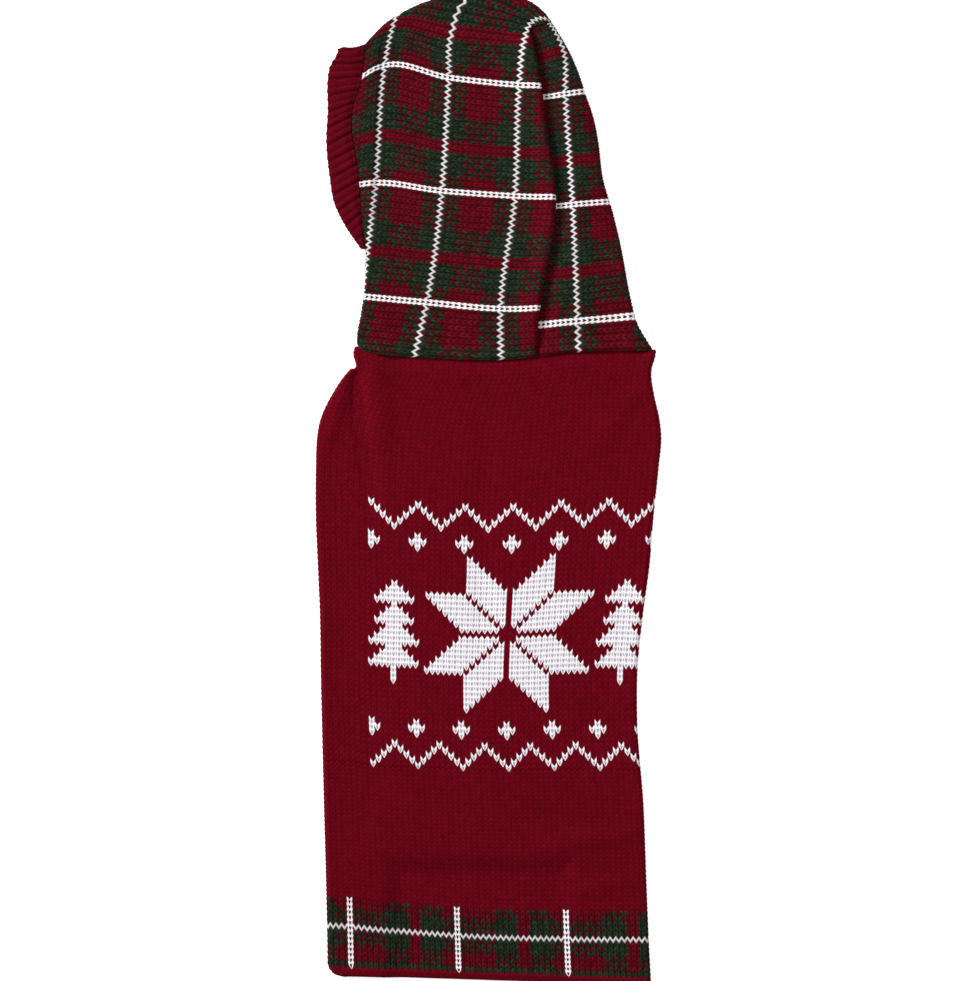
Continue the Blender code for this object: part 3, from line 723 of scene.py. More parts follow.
@dataclass
class StitchSheet:
    """Thin closed shell of stocking stitch, with one grid cell for each stitch.

    Args:
        name: Name of the piece.
        place: Finds spots from wale and course numbers.
        chart: Yarn of each stitch, courses by wales.
        first_course: Course number of the sheet's first course.
        goes_on: Whether the cloth goes on past its first and last course.
    """

    name: str
    place: Callable[[np.ndarray, np.ndarray], Spots]
    chart: np.ndarray
    first_course: int = 0
    goes_on: tuple[bool, bool] = (False, False)
    lean: float = 0.78            # courses that each leg slants by
    relief: float = 0.60 * MM     # from the crest of a leg to the groove
    proud: float = 0.35 * MM      # crests over the solid, where it faces up
    thickness: float = 1.7 * MM
    least_height: float = 0.15 * MM       # of the inner side over the ground
    rib_drop: float = 0.0         # every second wale lies this much lower
    rib_uneven: float = 0.45      # of that, less at every second groove
    # How open to the light stitches are, from 0 to 1
    edge_open: float = 0.5        # past the sheet's edge
    rib_shut: float = 0.7         # less, in a rib's groove
    inner_open: float = 0.3
    # Height of a stitch from 0 in the grooves to 1 on the legs. Each row goes
    # from one wale edge over the left leg, the middle and the right leg.
    profile: tuple[tuple[float, ...], ...] = (
        (0.15, 0.45, 0.30, 0.45),
        (0.25, 0.95, 0.15, 0.95),
        (0.25, 1.00, 0.15, 1.00),
    )

    @property
    def steps(self) -> tuple[int, int]:
        """Grid steps across and along one stitch."""
        return len(self.profile[0]), len(self.profile)

    def purl(self, wale: np.ndarray) -> np.ndarray:
        """Depth of the ribs, from 0 on a ridge to 1 in a deep groove."""
        return wave((wale - 0.5) / 2) * (1.0 - self.rib_uneven * wave((wale - 1.5) / 4))

    def build(self) -> bpy.types.Object:
        """Make the shell's object, with its yarns and stitch coordinates.

        Returns:
            The object.
        """
        across, along = self.steps
        courses, wales = self.chart.shape
        column = np.arange(wales * across + 1)
        row = np.arange(courses * along + 1)
        wale, level = np.meshgrid(column / across, row / along)
        spread = np.abs(2.0 * (wale % 1.0) - 1.0) - 0.5
        from_start = 1.0 if self.goes_on[0] else level
        from_end = 1.0 if self.goes_on[1] else courses - level
        near_end = np.clip(np.minimum(from_start, from_end), 0.0, 1.0)
        course = level - self.lean * spread * near_end
        crest = np.array(self.profile)[row % along][:, column % across]

        spots = self.place(wale, course + self.first_course)
        openness = np.where(spots.beyond, self.edge_open, 1.0)
        facing_up = np.maximum(spots.normal[..., 2], 0.0)
        height = (crest * openness - 1.0) * self.relief + self.proud * facing_up
        if self.rib_drop:
            purl = self.purl(wale)
            height = height - self.rib_drop * purl
            openness = openness * (1.0 - self.rib_shut * purl)
        outer = spots.point + spots.normal * height[..., None]

        corners = wale[::along, ::across], level[::along, ::across]
        spots = self.place(corners[0], corners[1] + self.first_course)
        inner = spots.point - spots.normal * self.thickness
        inner[..., 2] = np.maximum(inner[..., 2], self.least_height)
        beyond = spots.beyond
        dropped = beyond[:-1, :-1] & beyond[1:, :-1] & beyond[:-1, 1:] & beyond[1:, 1:]
        inner_openness = np.full_like(corners[0], self.inner_open)
        points, stitch = (
            np.concatenate([upper.reshape(-1, 3), lower.reshape(-1, 3)])
            for upper, lower in (
                (outer, inner),
                (np.stack([wale, level, openness], axis=-1), np.stack([*corners, inner_openness], axis=-1))))
        return knitted_object(self.name, points, stitch, self.faces(~dropped))

    def faces(self, kept: np.ndarray) -> Faces:
        """Faces of the kept stitches.

        Args:
            kept: True for each stitch that is there, courses by wales.

        Returns:
            Groups of faces with equal numbers of corners: the corners, the
            yarn of each face, and whether the group is shaded smooth.
        """
        across, along = self.steps
        row_length = kept.shape[1] * across + 1
        inner_length = kept.shape[1] + 1
        first_inner = row_length * (kept.shape[0] * along + 1)
        courses, wales = np.nonzero(kept)
        yarns = self.chart[courses, wales]

        def outer(down: int, right: int) -> np.ndarray:
            """Vertex of the outer side, so many grid steps into each stitch."""
            return (courses * along + down) * row_length + wales * across + right

        def inner(down: int, right: int) -> np.ndarray:
            """Vertex of the inner side, at a corner of each stitch."""
            return first_inner + (courses + down) * inner_length + wales + right

        groups = []
        for down in range(along):
            for right in range(across):
                quad = (outer(down, right), outer(down + 1, right), outer(down + 1, right + 1),
                        outer(down, right + 1))
                groups.append((np.stack(quad, axis=1), yarns, True))
        quad = (inner(0, 0), inner(0, 1), inner(1, 1), inner(1, 0))
        groups.append((np.stack(quad, axis=1), yarns, True))

        ringed = np.pad(kept, 1)
        rims = {
            (0, 1): [outer(0, k) for k in range(across + 1)] + [inner(0, 1), inner(0, 0)],
            (2, 1): [outer(along, k) for k in range(across, -1, -1)] + [inner(1, 0), inner(1, 1)],
            (1, 0): [outer(k, 0) for k in range(along, -1, -1)] + [inner(0, 0), inner(1, 0)],
            (1, 2): [outer(k, across) for k in range(along + 1)] + [inner(1, 1), inner(0, 1)],
        }
        for (down, right), corners in rims.items():
            bare = ~ringed[courses + down, wales + right]
            groups.append((np.stack(corners, axis=1)[bare], yarns[bare], False))
        return groups


def linked(name: str, data: bpy.types.ID) -> bpy.types.Object:
    """Make an object and link it to the scene.

    Args:
        name: Name of the object.
        data: Its mesh, light or camera.

    Returns:
        The object.
    """
    made = bpy.data.objects.new(name, data)
    bpy.context.scene.collection.objects.link(made)
    return made


def knitted_object(name: str, points: np.ndarray, stitch: np.ndarray,
                   groups: Faces) -> bpy.types.Object:
    """Make a knitted mesh object.

    Args:
        name: Name of the piece.
        points: Vertices.
        stitch: Wale, level and openness of each vertex.
        groups: Corners, yarns and smoothness of groups of faces.

    Returns:
        The object, dressed in every yarn.
    """
    groups = [group for group in groups if len(group[0])]
    corners = np.concatenate([group.ravel() for group, _, _ in groups])
    used, numbers = np.unique(corners, return_inverse=True)
    sizes = np.concatenate([np.full(len(group), group.shape[1]) for group, _, _ in groups])
    starts = np.concatenate([[0], np.cumsum(sizes)[:-1]])
    yarns = np.concatenate([yarn for _, yarn, _ in groups])
    smooth = np.concatenate([np.full(len(group), is_smooth) for group, _, is_smooth in groups])

    mesh = bpy.data.meshes.new(name)
    mesh.vertices.add(len(used))
    mesh.vertices.foreach_set("co", points[used].ravel())
    mesh.loops.add(len(numbers))
    mesh.loops.foreach_set("vertex_index", numbers.ravel().astype(np.int32))
    mesh.polygons.add(len(sizes))
    mesh.polygons.foreach_set("loop_start", starts.astype(np.int32))
    mesh.polygons.foreach_set("material_index", yarns.astype(np.int32))
    mesh.polygons.foreach_set("use_smooth", smooth)
    coordinates = mesh.attributes.new("stitch", "FLOAT_VECTOR", "POINT")
    coordinates.data.foreach_set("vector", stitch[used].ravel())
    mesh.update(calc_edges=True)
    mesh.validate()
    for yarn in Yarn:
        mesh.materials.append(bpy.data.materials[FINISHES[yarn].name])
    return linked(name, mesh)


def dress(piece: bpy.types.Object, nodes: tuple[str, ...]) -> bpy.types.Object:
    """Hide the solids that a piece stands for, and fasten the piece to the frame.

    Args:
        piece: The knitted piece.
        nodes: Names of the solids that it stands for.

    Returns:
        The same piece.
    """
    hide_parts(*nodes)
    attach(piece, BODY)
    return piece


# --------------------------------------------------------------------------
# The body
# --------------------------------------------------------------------------

@dataclass(frozen=True)
class BodyForm:
    """Outline and surface of the body, as its solids have them."""

    left_margin: float = 34.0 * MM
    right_margin: float = 42.0 * MM
    belly_hem_y: float = -234.0 * MM
    belly_corner: float = 26.0 * MM
    sag_start: float = 1.5 * MM
    sag_reach: float = 15.0 * MM
    hem_slope: float = -0.033
    hem_middle_y: float = -318.4 * MM
    hem_corner_left: float = 9.0 * MM
    hem_corner_right: float = 3.0 * MM
    hem_roll: float = 0.9 * MM
    hem_roll_width: float = 7.0 * MM
    hem_round: float = 7.0 / 3 * MM       # over which its outer edge is rounded
    bend_start: float = 0.80              # share of the way down where hem rows bend
    edge_rounds: int = 3                  # of finding where a course meets an edge
    neck_dip: float = 1.3 * MM
    neck_dip_width: float = 5.0 * MM
    leg_y: float = 14.0 * MM
    leg_cut: tuple[float, float] = (23.0 * MM, 31.0 * MM)
    # y, left edge, right edge
    outline: np.ndarray = table(
        (-322.0, -104.4, 105.6), (-298.0, -104.6, 104.3), (-251.2, -105.6, 102.4),
        (-204.4, -106.9, 100.6), (-149.8, -108.2, 96.6), (-118.6, -108.9, 96.7),
        (-79.6, -109.5, 100.4), (-48.4, -110.8, 104.6), (-17.2, -112.1, 107.2),
        (14.0, -112.1, 110.4), (35.4, -111.1, 112.1), (43.0, -109.8, 111.4),
        (60.8, -102.0, 107.6), (74.0, -93.3, 105.7), (79.0, -89.0, 106.0), (83.0, -86.2, 107.4),
        (90.0, -87.8, 108.7), (96.0, -86.8, 107.6),
    )
    # x, height that the hem's rows bend up
    hem_bend: np.ndarray = table(
        (-104.0, 1.3), (-88.0, 0.7), (-50.0, -1.6), (0.0, -3.4), (50.0, -3.2), (104.0, -1.6))
    # x, y
    neck: np.ndarray = table(
        (-86.3, 96.0), (-84.2, 93.2), (-80.5, 91.0), (-73.8, 88.9), (-47.8, 86.8), (1.0, 84.8),
        (30.0, 86.8), (46.5, 89.2), (72.5, 90.7), (106.9, 90.5),
    )
    # from x, from y, to x, to y, half width, height
    creases: np.ndarray = table(
        (-74.0, 90.0, -71.0, 44.0, 9.0, 1.9), (-86.0, 80.0, -83.5, 46.0, 3.6, -3.2),
        (-83.0, 44.0, -76.0, -6.0, 4.5, -1.8), (-70.0, 36.0, -64.0, -6.0, 10.0, 0.8),
        (-97.0, 60.0, -102.0, 40.0, 5.5, 1.5), (-2.0, 40.0, -3.0, -98.0, 8.0, -0.7),
        (100.0, 68.0, 76.0, 36.0, 7.0, 0.8), (40.0, -232.0, 96.0, -222.0, 6.0, 0.7),
        (34.0, -214.0, 74.0, -214.0, 7.0, -0.5), (48.0, -264.0, 96.0, -250.0, 6.0, 0.6),
    )

    def left_edge(self, y: np.ndarray) -> np.ndarray:
        """Outermost x of the left fold."""
        return smooth_between(y, self.outline[:, 0], self.outline[:, 1])

    def right_edge(self, y: np.ndarray) -> np.ndarray:
        """Outermost x of the right fold."""
        return smooth_between(y, self.outline[:, 0], self.outline[:, 2])

    def neck_y(self, x: np.ndarray) -> np.ndarray:
        """Height of the neck seam."""
        return smooth_between(x, self.neck[:, 0], self.neck[:, 1])

    def hem_y(self, x: np.ndarray) -> np.ndarray:
        """Height of the back's hem."""
        return self.hem_middle_y + self.hem_slope * x

    def row_y(self, x: np.ndarray, share: np.ndarray) -> np.ndarray:
        """Height of courses.

        Args:
            x: Places across.
            share: How far down to the hem each course lies, from 0 to 1.

        Returns:
            y of the course at each place.
        """
        bend = smooth_between(x, self.hem_bend[:, 0], self.hem_bend[:, 1])
        bend = bend * arch((share - self.bend_start) / (1 - self.bend_start))
        return self.neck_y(x) * (1 - share) + self.hem_y(x) * share + bend

    def edges(self, share: np.ndarray) -> tuple[np.ndarray, np.ndarray]:
        """Find both ends of courses.

        Args:
            share: How far down to the hem each course lies, from 0 to 1.

        Returns:
            Outermost left and right x of each course.
        """
        left = np.full_like(share, self.neck[0, 0])
        right = np.full_like(share, self.neck[-1, 0])
        for _ in range(self.edge_rounds):
            left = self.left_edge(self.row_y(left, share))
            right = self.right_edge(self.row_y(right, share))
        left_over, right_over = (self.row_y(x, share) - self.hem_y(x) for x in (left, right))
        return (left + corner_inset(left_over, self.hem_corner_left),
                right - corner_inset(right_over, self.hem_corner_right))

    def side_seam(self, y: np.ndarray, side: int) -> np.ndarray:
        """x of the left (-1) or right (1) seam between a margin and the belly."""
        left, right = self.left_edge(y) + self.left_margin, self.right_edge(y) - self.right_margin
        return left if side < 0 else right

    def leg_centre(self, side: int) -> np.ndarray:
        """Middle of the left (-1) or right (1) leg opening, in plan."""
        return np.array([float(self.side_seam(np.array(self.leg_y), side)), self.leg_y])

    def support(self, x: np.ndarray, y: np.ndarray) -> np.ndarray:
        """Height of the top of what lies under the back panel.

        Args:
            x: Places across.
            y: Places along.

        Returns:
            Height at each place.
        """
        past = np.minimum(x - self.side_seam(y, -1), self.side_seam(y, 1) - x)
        past = np.minimum(past, self.belly_hem_y - y)
        return CLOTH.wall * (1.0 - ease((past - self.sag_start) / self.sag_reach))

    def top(self, x: np.ndarray, y: np.ndarray, near_fold: np.ndarray) -> np.ndarray:
        """Height of the back's outer side.

        Args:
            x: Places across.
            y: Places along.
            near_fold: Distances in from the nearest fold.

        Returns:
            Height at each place.
        """
        from_hem = y - self.hem_y(x)
        dip = self.neck_dip * swell(self.neck_y(x) - y, self.neck_dip_width)
        roll = self.hem_roll * arch(from_hem / self.hem_roll_width)
        rounding = self.hem_roll * (1.0 - ease(from_hem / self.hem_round))
        creases = crease_height(x, y, self.creases) - dip
        return CLOTH.upper_top(near_fold, self.support(x, y), creases) + roll - rounding

    def out_of_leg(self, point: np.ndarray, side: int) -> tuple[np.ndarray, np.ndarray]:
        """Move what lies inside a leg opening to its edge.

        Args:
            point: Places in plan, (..., 2).
            side: -1 for the left opening and 1 for the right one.

        Returns:
            The places, and whether each was moved.
        """
        centre = self.leg_centre(side)
        offset = (point - centre) / self.leg_cut
        far = np.linalg.norm(offset, axis=-1)
        inside = far < 1.0
        pushed = centre + offset / np.maximum(far, TINY)[..., None] * self.leg_cut
        return np.where(inside[..., None], pushed, point), inside


BODY_FORM = BodyForm()


@dataclass
class BackPanel:
    """Back of the sweater: plain, patterned and plaid courses down to the hem."""

    # courses and their height, from the neck to the rolled hem
    gauge: tuple[tuple[int, float], ...] = (
        (33, 2.87 * MM), (50, 3.44 * MM), (31, 2.81 * MM), (13, 3.33 * MM), (2, 3.1 * MM))
    wales: int = 79
    cut_width: float = 290.0 * MM         # laid flat, with both margins
    reference_wale: float = 33.5          # lies on the middle white chain
    reference_share: float = 0.406        # of the body's width, at that chain
    pattern_course: int = 33
    pattern_wale: int = 43
    plaid_course: int = 114
    plaid_wales: str = "WRRRRRRGGGGNNGGGGRR"
    plaid_courses: str = "RRGGGWGGGRRRS"
    split_course: int = 83

    @property
    def courses(self) -> int:
        """Number of courses from the neck to the hem."""
        return sum(count for count, _ in self.gauge)

    def share(self, course: np.ndarray) -> np.ndarray:
        """Share of the way from the neck to the hem.

        Args:
            course: Numbers of courses.

        Returns:
            The share at each course.
        """
        counts = np.cumsum([0] + [count for count, _ in self.gauge])
        lengths = np.cumsum([0.0] + [count * height for count, height in self.gauge])
        return np.interp(course, counts, lengths / lengths[-1])

    def place(self, wale: np.ndarray, course: np.ndarray) -> Spots:
        """Find spots on the back and its two margins.

        Args:
            wale: Numbers of wales.
            course: Numbers of courses.

        Returns:
            The spots.
        """
        share = self.share(course)
        left, right = BODY_FORM.edges(share)
        inner_left, inner_right = left + CLOTH.fold_radius, right - CLOTH.fold_radius
        reference = left + self.reference_share * (right - left)
        to_left = wale < self.reference_wale
        margin = np.where(to_left, BODY_FORM.left_margin, BODY_FORM.right_margin) - CLOTH.fold_radius
        edge = np.where(to_left, inner_left, inner_right)
        flat = np.abs(edge - reference)
        count = np.where(to_left, self.reference_wale, self.wales - self.reference_wale)
        reach = (flat + CLOTH.fold_length + margin) * np.abs(wale - self.reference_wale) / count
        side = np.where(to_left, -1.0, 1.0)
        past = reach - flat
        outward = np.stack([side, np.zeros_like(side)], axis=-1)
        offset, height, normal = CLOTH.round_fold(past, outward)
        x = np.where(past < 0, reference + side * reach, edge + offset[..., 0])
        y = BODY_FORM.row_y(np.clip(x, inner_left, inner_right), share)
        near_fold = np.maximum(np.minimum(x - left, right - x) - CLOTH.fold_radius, 0.0)
        height = np.where(past < 0, BODY_FORM.top(x, y, near_fold), height)
        plan = np.stack([x, y], axis=-1)
        under = past > CLOTH.fold_length
        cut = np.zeros_like(under)
        for leg in SIDES:
            moved, inside = BODY_FORM.out_of_leg(plan, leg)
            plan = np.where((under & inside)[..., None], moved, plan)
            cut |= under & inside
        return Spots(np.concatenate([plan, height[..., None]], axis=-1), normal, cut)

    def chart(self) -> np.ndarray:
        """Chart the back.

        Returns:
            Yarn of each stitch, courses by wales.
        """
        courses = np.arange(self.courses)[:, None]
        wales = np.arange(self.wales)[None]
        pattern = BorderPattern().is_white(wales - self.pattern_wale, courses - self.pattern_course)
        chart = np.where(pattern, Yarn.WHITE_MOTIF, Yarn.RED)
        plaid = Plaid(self.plaid_wales, self.plaid_courses, first_wale=int(self.reference_wale))
        rows = np.arange(len(self.plaid_courses))
        chart[self.plaid_course + rows] = plaid.yarns(rows[:, None], wales)
        return chart

    def build(self) -> list[bpy.types.Object]:
        """Make the back in two lengths of cloth that meet at a course.

        Returns:
            The two pieces.
        """
        chart = self.chart()
        pieces = []
        for name, first, last in (("back_upper", 0, self.split_course),
                                  ("back_lower", self.split_course, self.courses)):
            sheet = StitchSheet(name, self.place, chart[first:last], first,
                                goes_on=(first > 0, last < self.courses))
            pieces.append(dress(sheet.build(), ("back_panel",)))
        return pieces


@dataclass
class BellyPanel:
    """Belly of the sweater, flat on the ground between the back's margins."""

    back: BackPanel
    wales: int = 40
    courses: int = 100
    cut: tuple[float, float] = (150.0 * MM, 320.0 * MM)

    def place(self, wale: np.ndarray, course: np.ndarray) -> Spots:
        """Find spots on the belly's outer side, which faces down.

        Args:
            wale: Numbers of wales.
            course: Numbers of courses.

        Returns:
            The spots.
        """
        share = self.back.share(course)
        left, right = BODY_FORM.edges(share)
        start = left + BODY_FORM.left_margin + CLOTH.seam_gap
        end = right - BODY_FORM.right_margin - CLOTH.seam_gap
        x = end + (start - end) * wale / self.wales
        y = BODY_FORM.row_y(x, share)
        over_hem = y - BODY_FORM.belly_hem_y
        inset = corner_inset(np.maximum(over_hem, 0.0), BODY_FORM.belly_corner)
        clipped = np.clip(x, start + inset, end - inset)
        beyond = (over_hem < 0.0) | (np.abs(clipped - x) > TINY)
        plan = np.stack([clipped, np.maximum(y, BODY_FORM.belly_hem_y)], axis=-1)
        for side in SIDES:
            plan, inside = BODY_FORM.out_of_leg(plan, side)
            beyond = beyond | inside
        return facing_down(plan[..., 0], plan[..., 1], beyond)

    def build(self) -> list[bpy.types.Object]:
        """Make the belly.

        Returns:
            Its one piece.
        """
        chart = np.full((self.courses, self.wales), Yarn.RED)
        sheet = StitchSheet("belly_cloth", self.place, chart)
        return [dress(sheet.build(), ("belly_panel",))]


@dataclass
class LegBand:
    """Ribbed band inside one leg opening.

    Args:
        side: -1 for the left leg and 1 for the right one.
    """

    side: int
    wales: int = 54
    courses: int = 3
    width: float = 8.0 * MM
    rib_drop: float = 0.6 * MM
    relief: float = 0.5 * MM
    thickness: float = 1.9 * MM
    cut: tuple[float, float] = (147.0 * MM, 10.0 * MM)
    cut_area: float = 0.00118             # in square metres

    def place(self, wale: np.ndarray, course: np.ndarray) -> Spots:
        """Find spots round the band, whose outer side faces down.

        Args:
            wale: Numbers of wales.
            course: Numbers of courses.

        Returns:
            The spots.
        """
        centre_x, centre_y = BODY_FORM.leg_centre(self.side)
        angle = 2 * math.pi * wale / self.wales
        inset = CLOTH.seam_gap + self.width * course / self.courses
        x = centre_x + (BODY_FORM.leg_cut[0] - inset) * np.cos(angle)
        y = centre_y + (BODY_FORM.leg_cut[1] - inset) * np.sin(angle)
        return facing_down(x, y, np.zeros(x.shape, bool))

    def build(self) -> list[bpy.types.Object]:
        """Make the band.

        Returns:
            Its one piece.
        """
        name = "left" if self.side < 0 else "right"
        chart = np.full((self.courses, self.wales), Yarn.RIB_RED)
        sheet = StitchSheet(f"leg_rib_{name}", self.place, chart, rib_drop=self.rib_drop,
                            relief=self.relief, thickness=self.thickness)
        return [dress(sheet.build(), (f"leg_band_{name}",))]


# --------------------------------------------------------------------------
# The hood
# --------------------------------------------------------------------------

@dataclass(frozen=True)
class HoodForm:
    """Outline and surface of the hood, as its solid has them."""

    lip_rise: float = 1.9 * MM
    lip_width: float = 7.0 * MM
    lip_rounding: float = 1 / 2           # of its height, at the very edge
    lip_round: float = 1.6 * MM
    lip_lap: float = 1.3 * MM             # the hood's edge overhangs the body
    seam_roll: float = 4.6 * MM
    seam_roll_low: float = 0.45           # share of it that is there at the neck
    seam_roll_fade: float = 30.0 * MM     # and over which it reaches its full height
    seam_rounding: float = 1 / 3
    seam_roll_width: float = 8.0 * MM
    seam_dip: float = 1.0 * MM
    seam_dip_width: float = 5.0 * MM
    seam_rise: float = 2.8 * MM           # of the right half, away from the seam
    seam_rise_start: float = 6.5 * MM
    seam_rise_width: float = 11.0 * MM
    seam_rise_reach: float = 34.0 * MM
    slit_ease: float = 14.0 * MM
    slit_top: float = 303.0 * MM
    seam_lap: float = 2.4 * MM            # the left half laps over the right one
    seam_tuck: float = 0.6 * MM
    face_drop: float = 1.3 * MM           # the edge at the face rolls down
    face_drop_width: float = 7.0 * MM
    chin_ease: float = 18.0 * MM
    chin_far: float = 0.05
    neck_corner: float = 18.0 * MM
    crown_corner: float = 10.0 * MM
    past_ends: float = 20.0 * MM
    end_points: int = 40                  # of a fold line's straight ends
    # x, y
    chin: np.ndarray = table(
        (-85.6, 91.5), (-85.6, 99.8), (-82.9, 115.4), (-80.9, 131.0), (-80.2, 146.6))
    face: np.ndarray = table(
        (-79.6, 156.0), (-82.2, 178.4), (-83.5, 196.0), (-85.5, 214.2), (-88.4, 230.4),
        (-88.0, 246.7), (-82.6, 263.5), (-80.3, 285.4))
    crown: np.ndarray = table(
        (-80.3, 288.6), (-75.7, 293.5), (-67.3, 302.0), (-57.5, 308.4), (-44.5, 314.9),
        (-28.3, 319.7), (-5.5, 322.0), (14.0, 320.8), (25.7, 317.3), (35.4, 310.2), (43.9, 298.7))
    back: np.ndarray = table(
        (106.9, 90.5), (96.8, 107.6), (92.6, 123.2), (86.8, 154.4), (81.4, 177.8), (74.6, 201.2),
        (71.6, 224.6), (68.6, 240.2), (63.4, 255.8), (58.2, 271.4), (51.0, 287.0), (43.9, 298.7))
    seam: np.ndarray = table(
        (28.9, 86.9), (30.2, 110.2), (34.1, 136.2), (39.3, 162.2), (41.3, 185.0), (40.0, 204.4),
        (35.4, 233.7), (32.2, 259.7), (28.9, 279.2), (26.3, 292.0), (26.0, 297.5), (29.0, 299.8),
        (38.0, 301.6), (43.5, 304.0), (47.0, 312.0), (50.0, 345.0))
    # from x, from y, to x, to y, half width, height
    creases: np.ndarray = table(
        (-66.0, 92.0, -72.0, 168.0, 6.0, 0.7), (-26.0, 96.0, -20.0, 150.0, 8.0, -0.5),
        (62.0, 98.0, 58.0, 190.0, 6.0, 0.7), (84.0, 98.0, 78.0, 146.0, 5.0, -0.5),
        (8.0, 200.0, 4.0, 280.0, 9.0, -0.5))

    @property
    def chin_top(self) -> float:
        """y at which the closed front ends and the face opening starts."""
        return self.chin[-1, 1]

    def seam_x(self, y: np.ndarray) -> np.ndarray:
        """x of the back seam."""
        return smooth_between(y, self.seam[:, 1], self.seam[:, 0])

    def face_x(self, y: np.ndarray) -> np.ndarray:
        """x of the hood's edge at the face opening."""
        return smooth_between(y, self.face[:, 1], self.face[:, 0])

    def slit_share(self, y: np.ndarray) -> np.ndarray:
        """How far the back seam's edges part, from 1 to 0 towards the crown."""
        return 1.0 - ease((y - self.slit_top) / self.slit_ease + 1.0)

    def at_face(self, x: np.ndarray, y: np.ndarray) -> tuple[np.ndarray, np.ndarray]:
        """Move what lies past the edge at the face opening back to it.

        Args:
            x: Places across.
            y: Places along.

        Returns:
            The new x, and whether each place was moved.
        """
        edge = self.face_x(y)
        past_face = (y > self.chin_top) & (x < edge)
        return np.where(past_face, edge, x), past_face

    def low_edge(self, x: np.ndarray) -> np.ndarray:
        """Lower edge of the flat cloth, which laps over the body only on top.

        Args:
            x: Places across, on the flat cloth.

        Returns:
            y of the edge at each place.
        """
        left_start = self.chin[0, 0] + CLOTH.fold_radius
        right_start = self.back[0, 0] - CLOTH.fold_radius
        past_fold = np.maximum(np.maximum(left_start - x, x - right_start), 0.0)
        outermost = left_start - CLOTH.fold_length / 2
        seen_x = outermost + np.abs(x - outermost)
        lap = (self.lip_lap + CLOTH.seam_gap) * ease(past_fold / CLOTH.fold_length)
        return BODY_FORM.neck_y(seen_x) - self.lip_lap + lap

    def chin_line(self) -> FoldLine:
        """Find where the fold at the closed front starts.

        Returns:
            The line, from below the neck up to the face opening.
        """
        points = even_curve(self.chin)
        points[:, 0] += CLOTH.fold_radius
        below = points[0] - (0.0, self.past_ends)
        points = np.concatenate([np.linspace(below, points[0], self.end_points)[:-1], points])
        return FoldLine(points, np.tile([-1.0, 0.0], (len(points), 1)))

    def crown_line(self) -> FoldLine:
        """Find where the fold over the crown and down the back starts.

        Returns:
            The line, from the face over the crown to below the neck.
        """
        crown, back = even_curve(self.crown), even_curve(self.back)
        level = 1.0 - ease(run_of(crown) / self.crown_corner)[:, None]
        crown_out = (1.0 - level) * left_normals(crown) + level * (0.0, 1.0)
        turned = ease(np.linalg.norm(back - back[0], axis=1) / self.neck_corner)[:, None]
        back_out = (1.0 - turned) * (1.0, 0.0) - turned * left_normals(back)
        outward = unit(np.concatenate([crown_out, back_out[::-1]]))
        points = np.concatenate([crown, back[::-1]]) - CLOTH.fold_radius * outward
        before = points[0] - (self.past_ends, 0.0)
        after = points[-1] - (0.0, self.past_ends)
        straight = self.end_points - 1
        points = np.concatenate([np.linspace(before, points[0], self.end_points)[:-1], points,
                                 np.linspace(points[-1], after, self.end_points)[1:]])
        outward = np.concatenate([np.tile([0.0, 1.0], (straight, 1)), outward,
                                  np.tile([1.0, 0.0], (straight, 1))])
        return FoldLine(points, outward)

    def top(self, x: np.ndarray, y: np.ndarray, side: int, near_crown: np.ndarray,
            near_chin: np.ndarray) -> np.ndarray:
        """Height of the hood's upper side.

        Args:
            x: Places across.
            y: Places along.
            side: -1 on the face side of the back seam and 1 past it.
            near_crown: Distances in from the fold over crown and back.
            near_chin: Distances in from the fold at the closed front.

        Returns:
            Height at each place.
        """
        open_edge = ease((y - self.chin_top) / self.chin_ease)
        near_fold = np.minimum(near_crown, near_chin / np.maximum(1.0 - open_edge, self.chin_far))
        from_neck = y - BODY_FORM.neck_y(x) + self.lip_lap
        from_seam = np.abs(x - self.seam_x(y))
        full = self.seam_roll_low + (1.0 - self.seam_roll_low) * ease(from_neck / self.seam_roll_fade)
        slit = self.slit_share(y) * full
        raised = self.lip_rise * swell(from_neck, self.lip_width)
        edge_drop = 1.0 - ease(from_neck / self.lip_round)
        rounding = self.lip_rounding * self.lip_rise * edge_drop
        if side < 0:
            raised = np.maximum(raised, slit * self.seam_roll * swell(from_seam, self.seam_roll_width))
            edge_drop = 1.0 - ease((self.seam_x(y) + self.seam_lap - x) / self.lip_round)
            rounding = rounding + self.seam_rounding * slit * self.seam_roll * edge_drop
            from_face = np.maximum(x - self.face_x(y), 0.0)
            rounding = rounding + open_edge * self.face_drop * (1.0 - ease(from_face / self.face_drop_width))
        else:
            dip = slit * self.seam_dip * swell(from_seam, self.seam_dip_width)
            rise = ease((from_seam - self.seam_rise_start) / self.seam_rise_width)
            rise = slit * self.seam_rise * rise * swell(from_seam, self.seam_rise_reach)
            raised = np.maximum(raised * ease(from_seam / self.seam_rise_width), rise) - dip
        creases = crease_height(x, y, self.creases) + raised
        support = np.full_like(x, CLOTH.wall)
        return CLOTH.upper_top(np.maximum(near_fold, 0.0), support, creases) - rounding


HOOD_FORM = HoodForm()


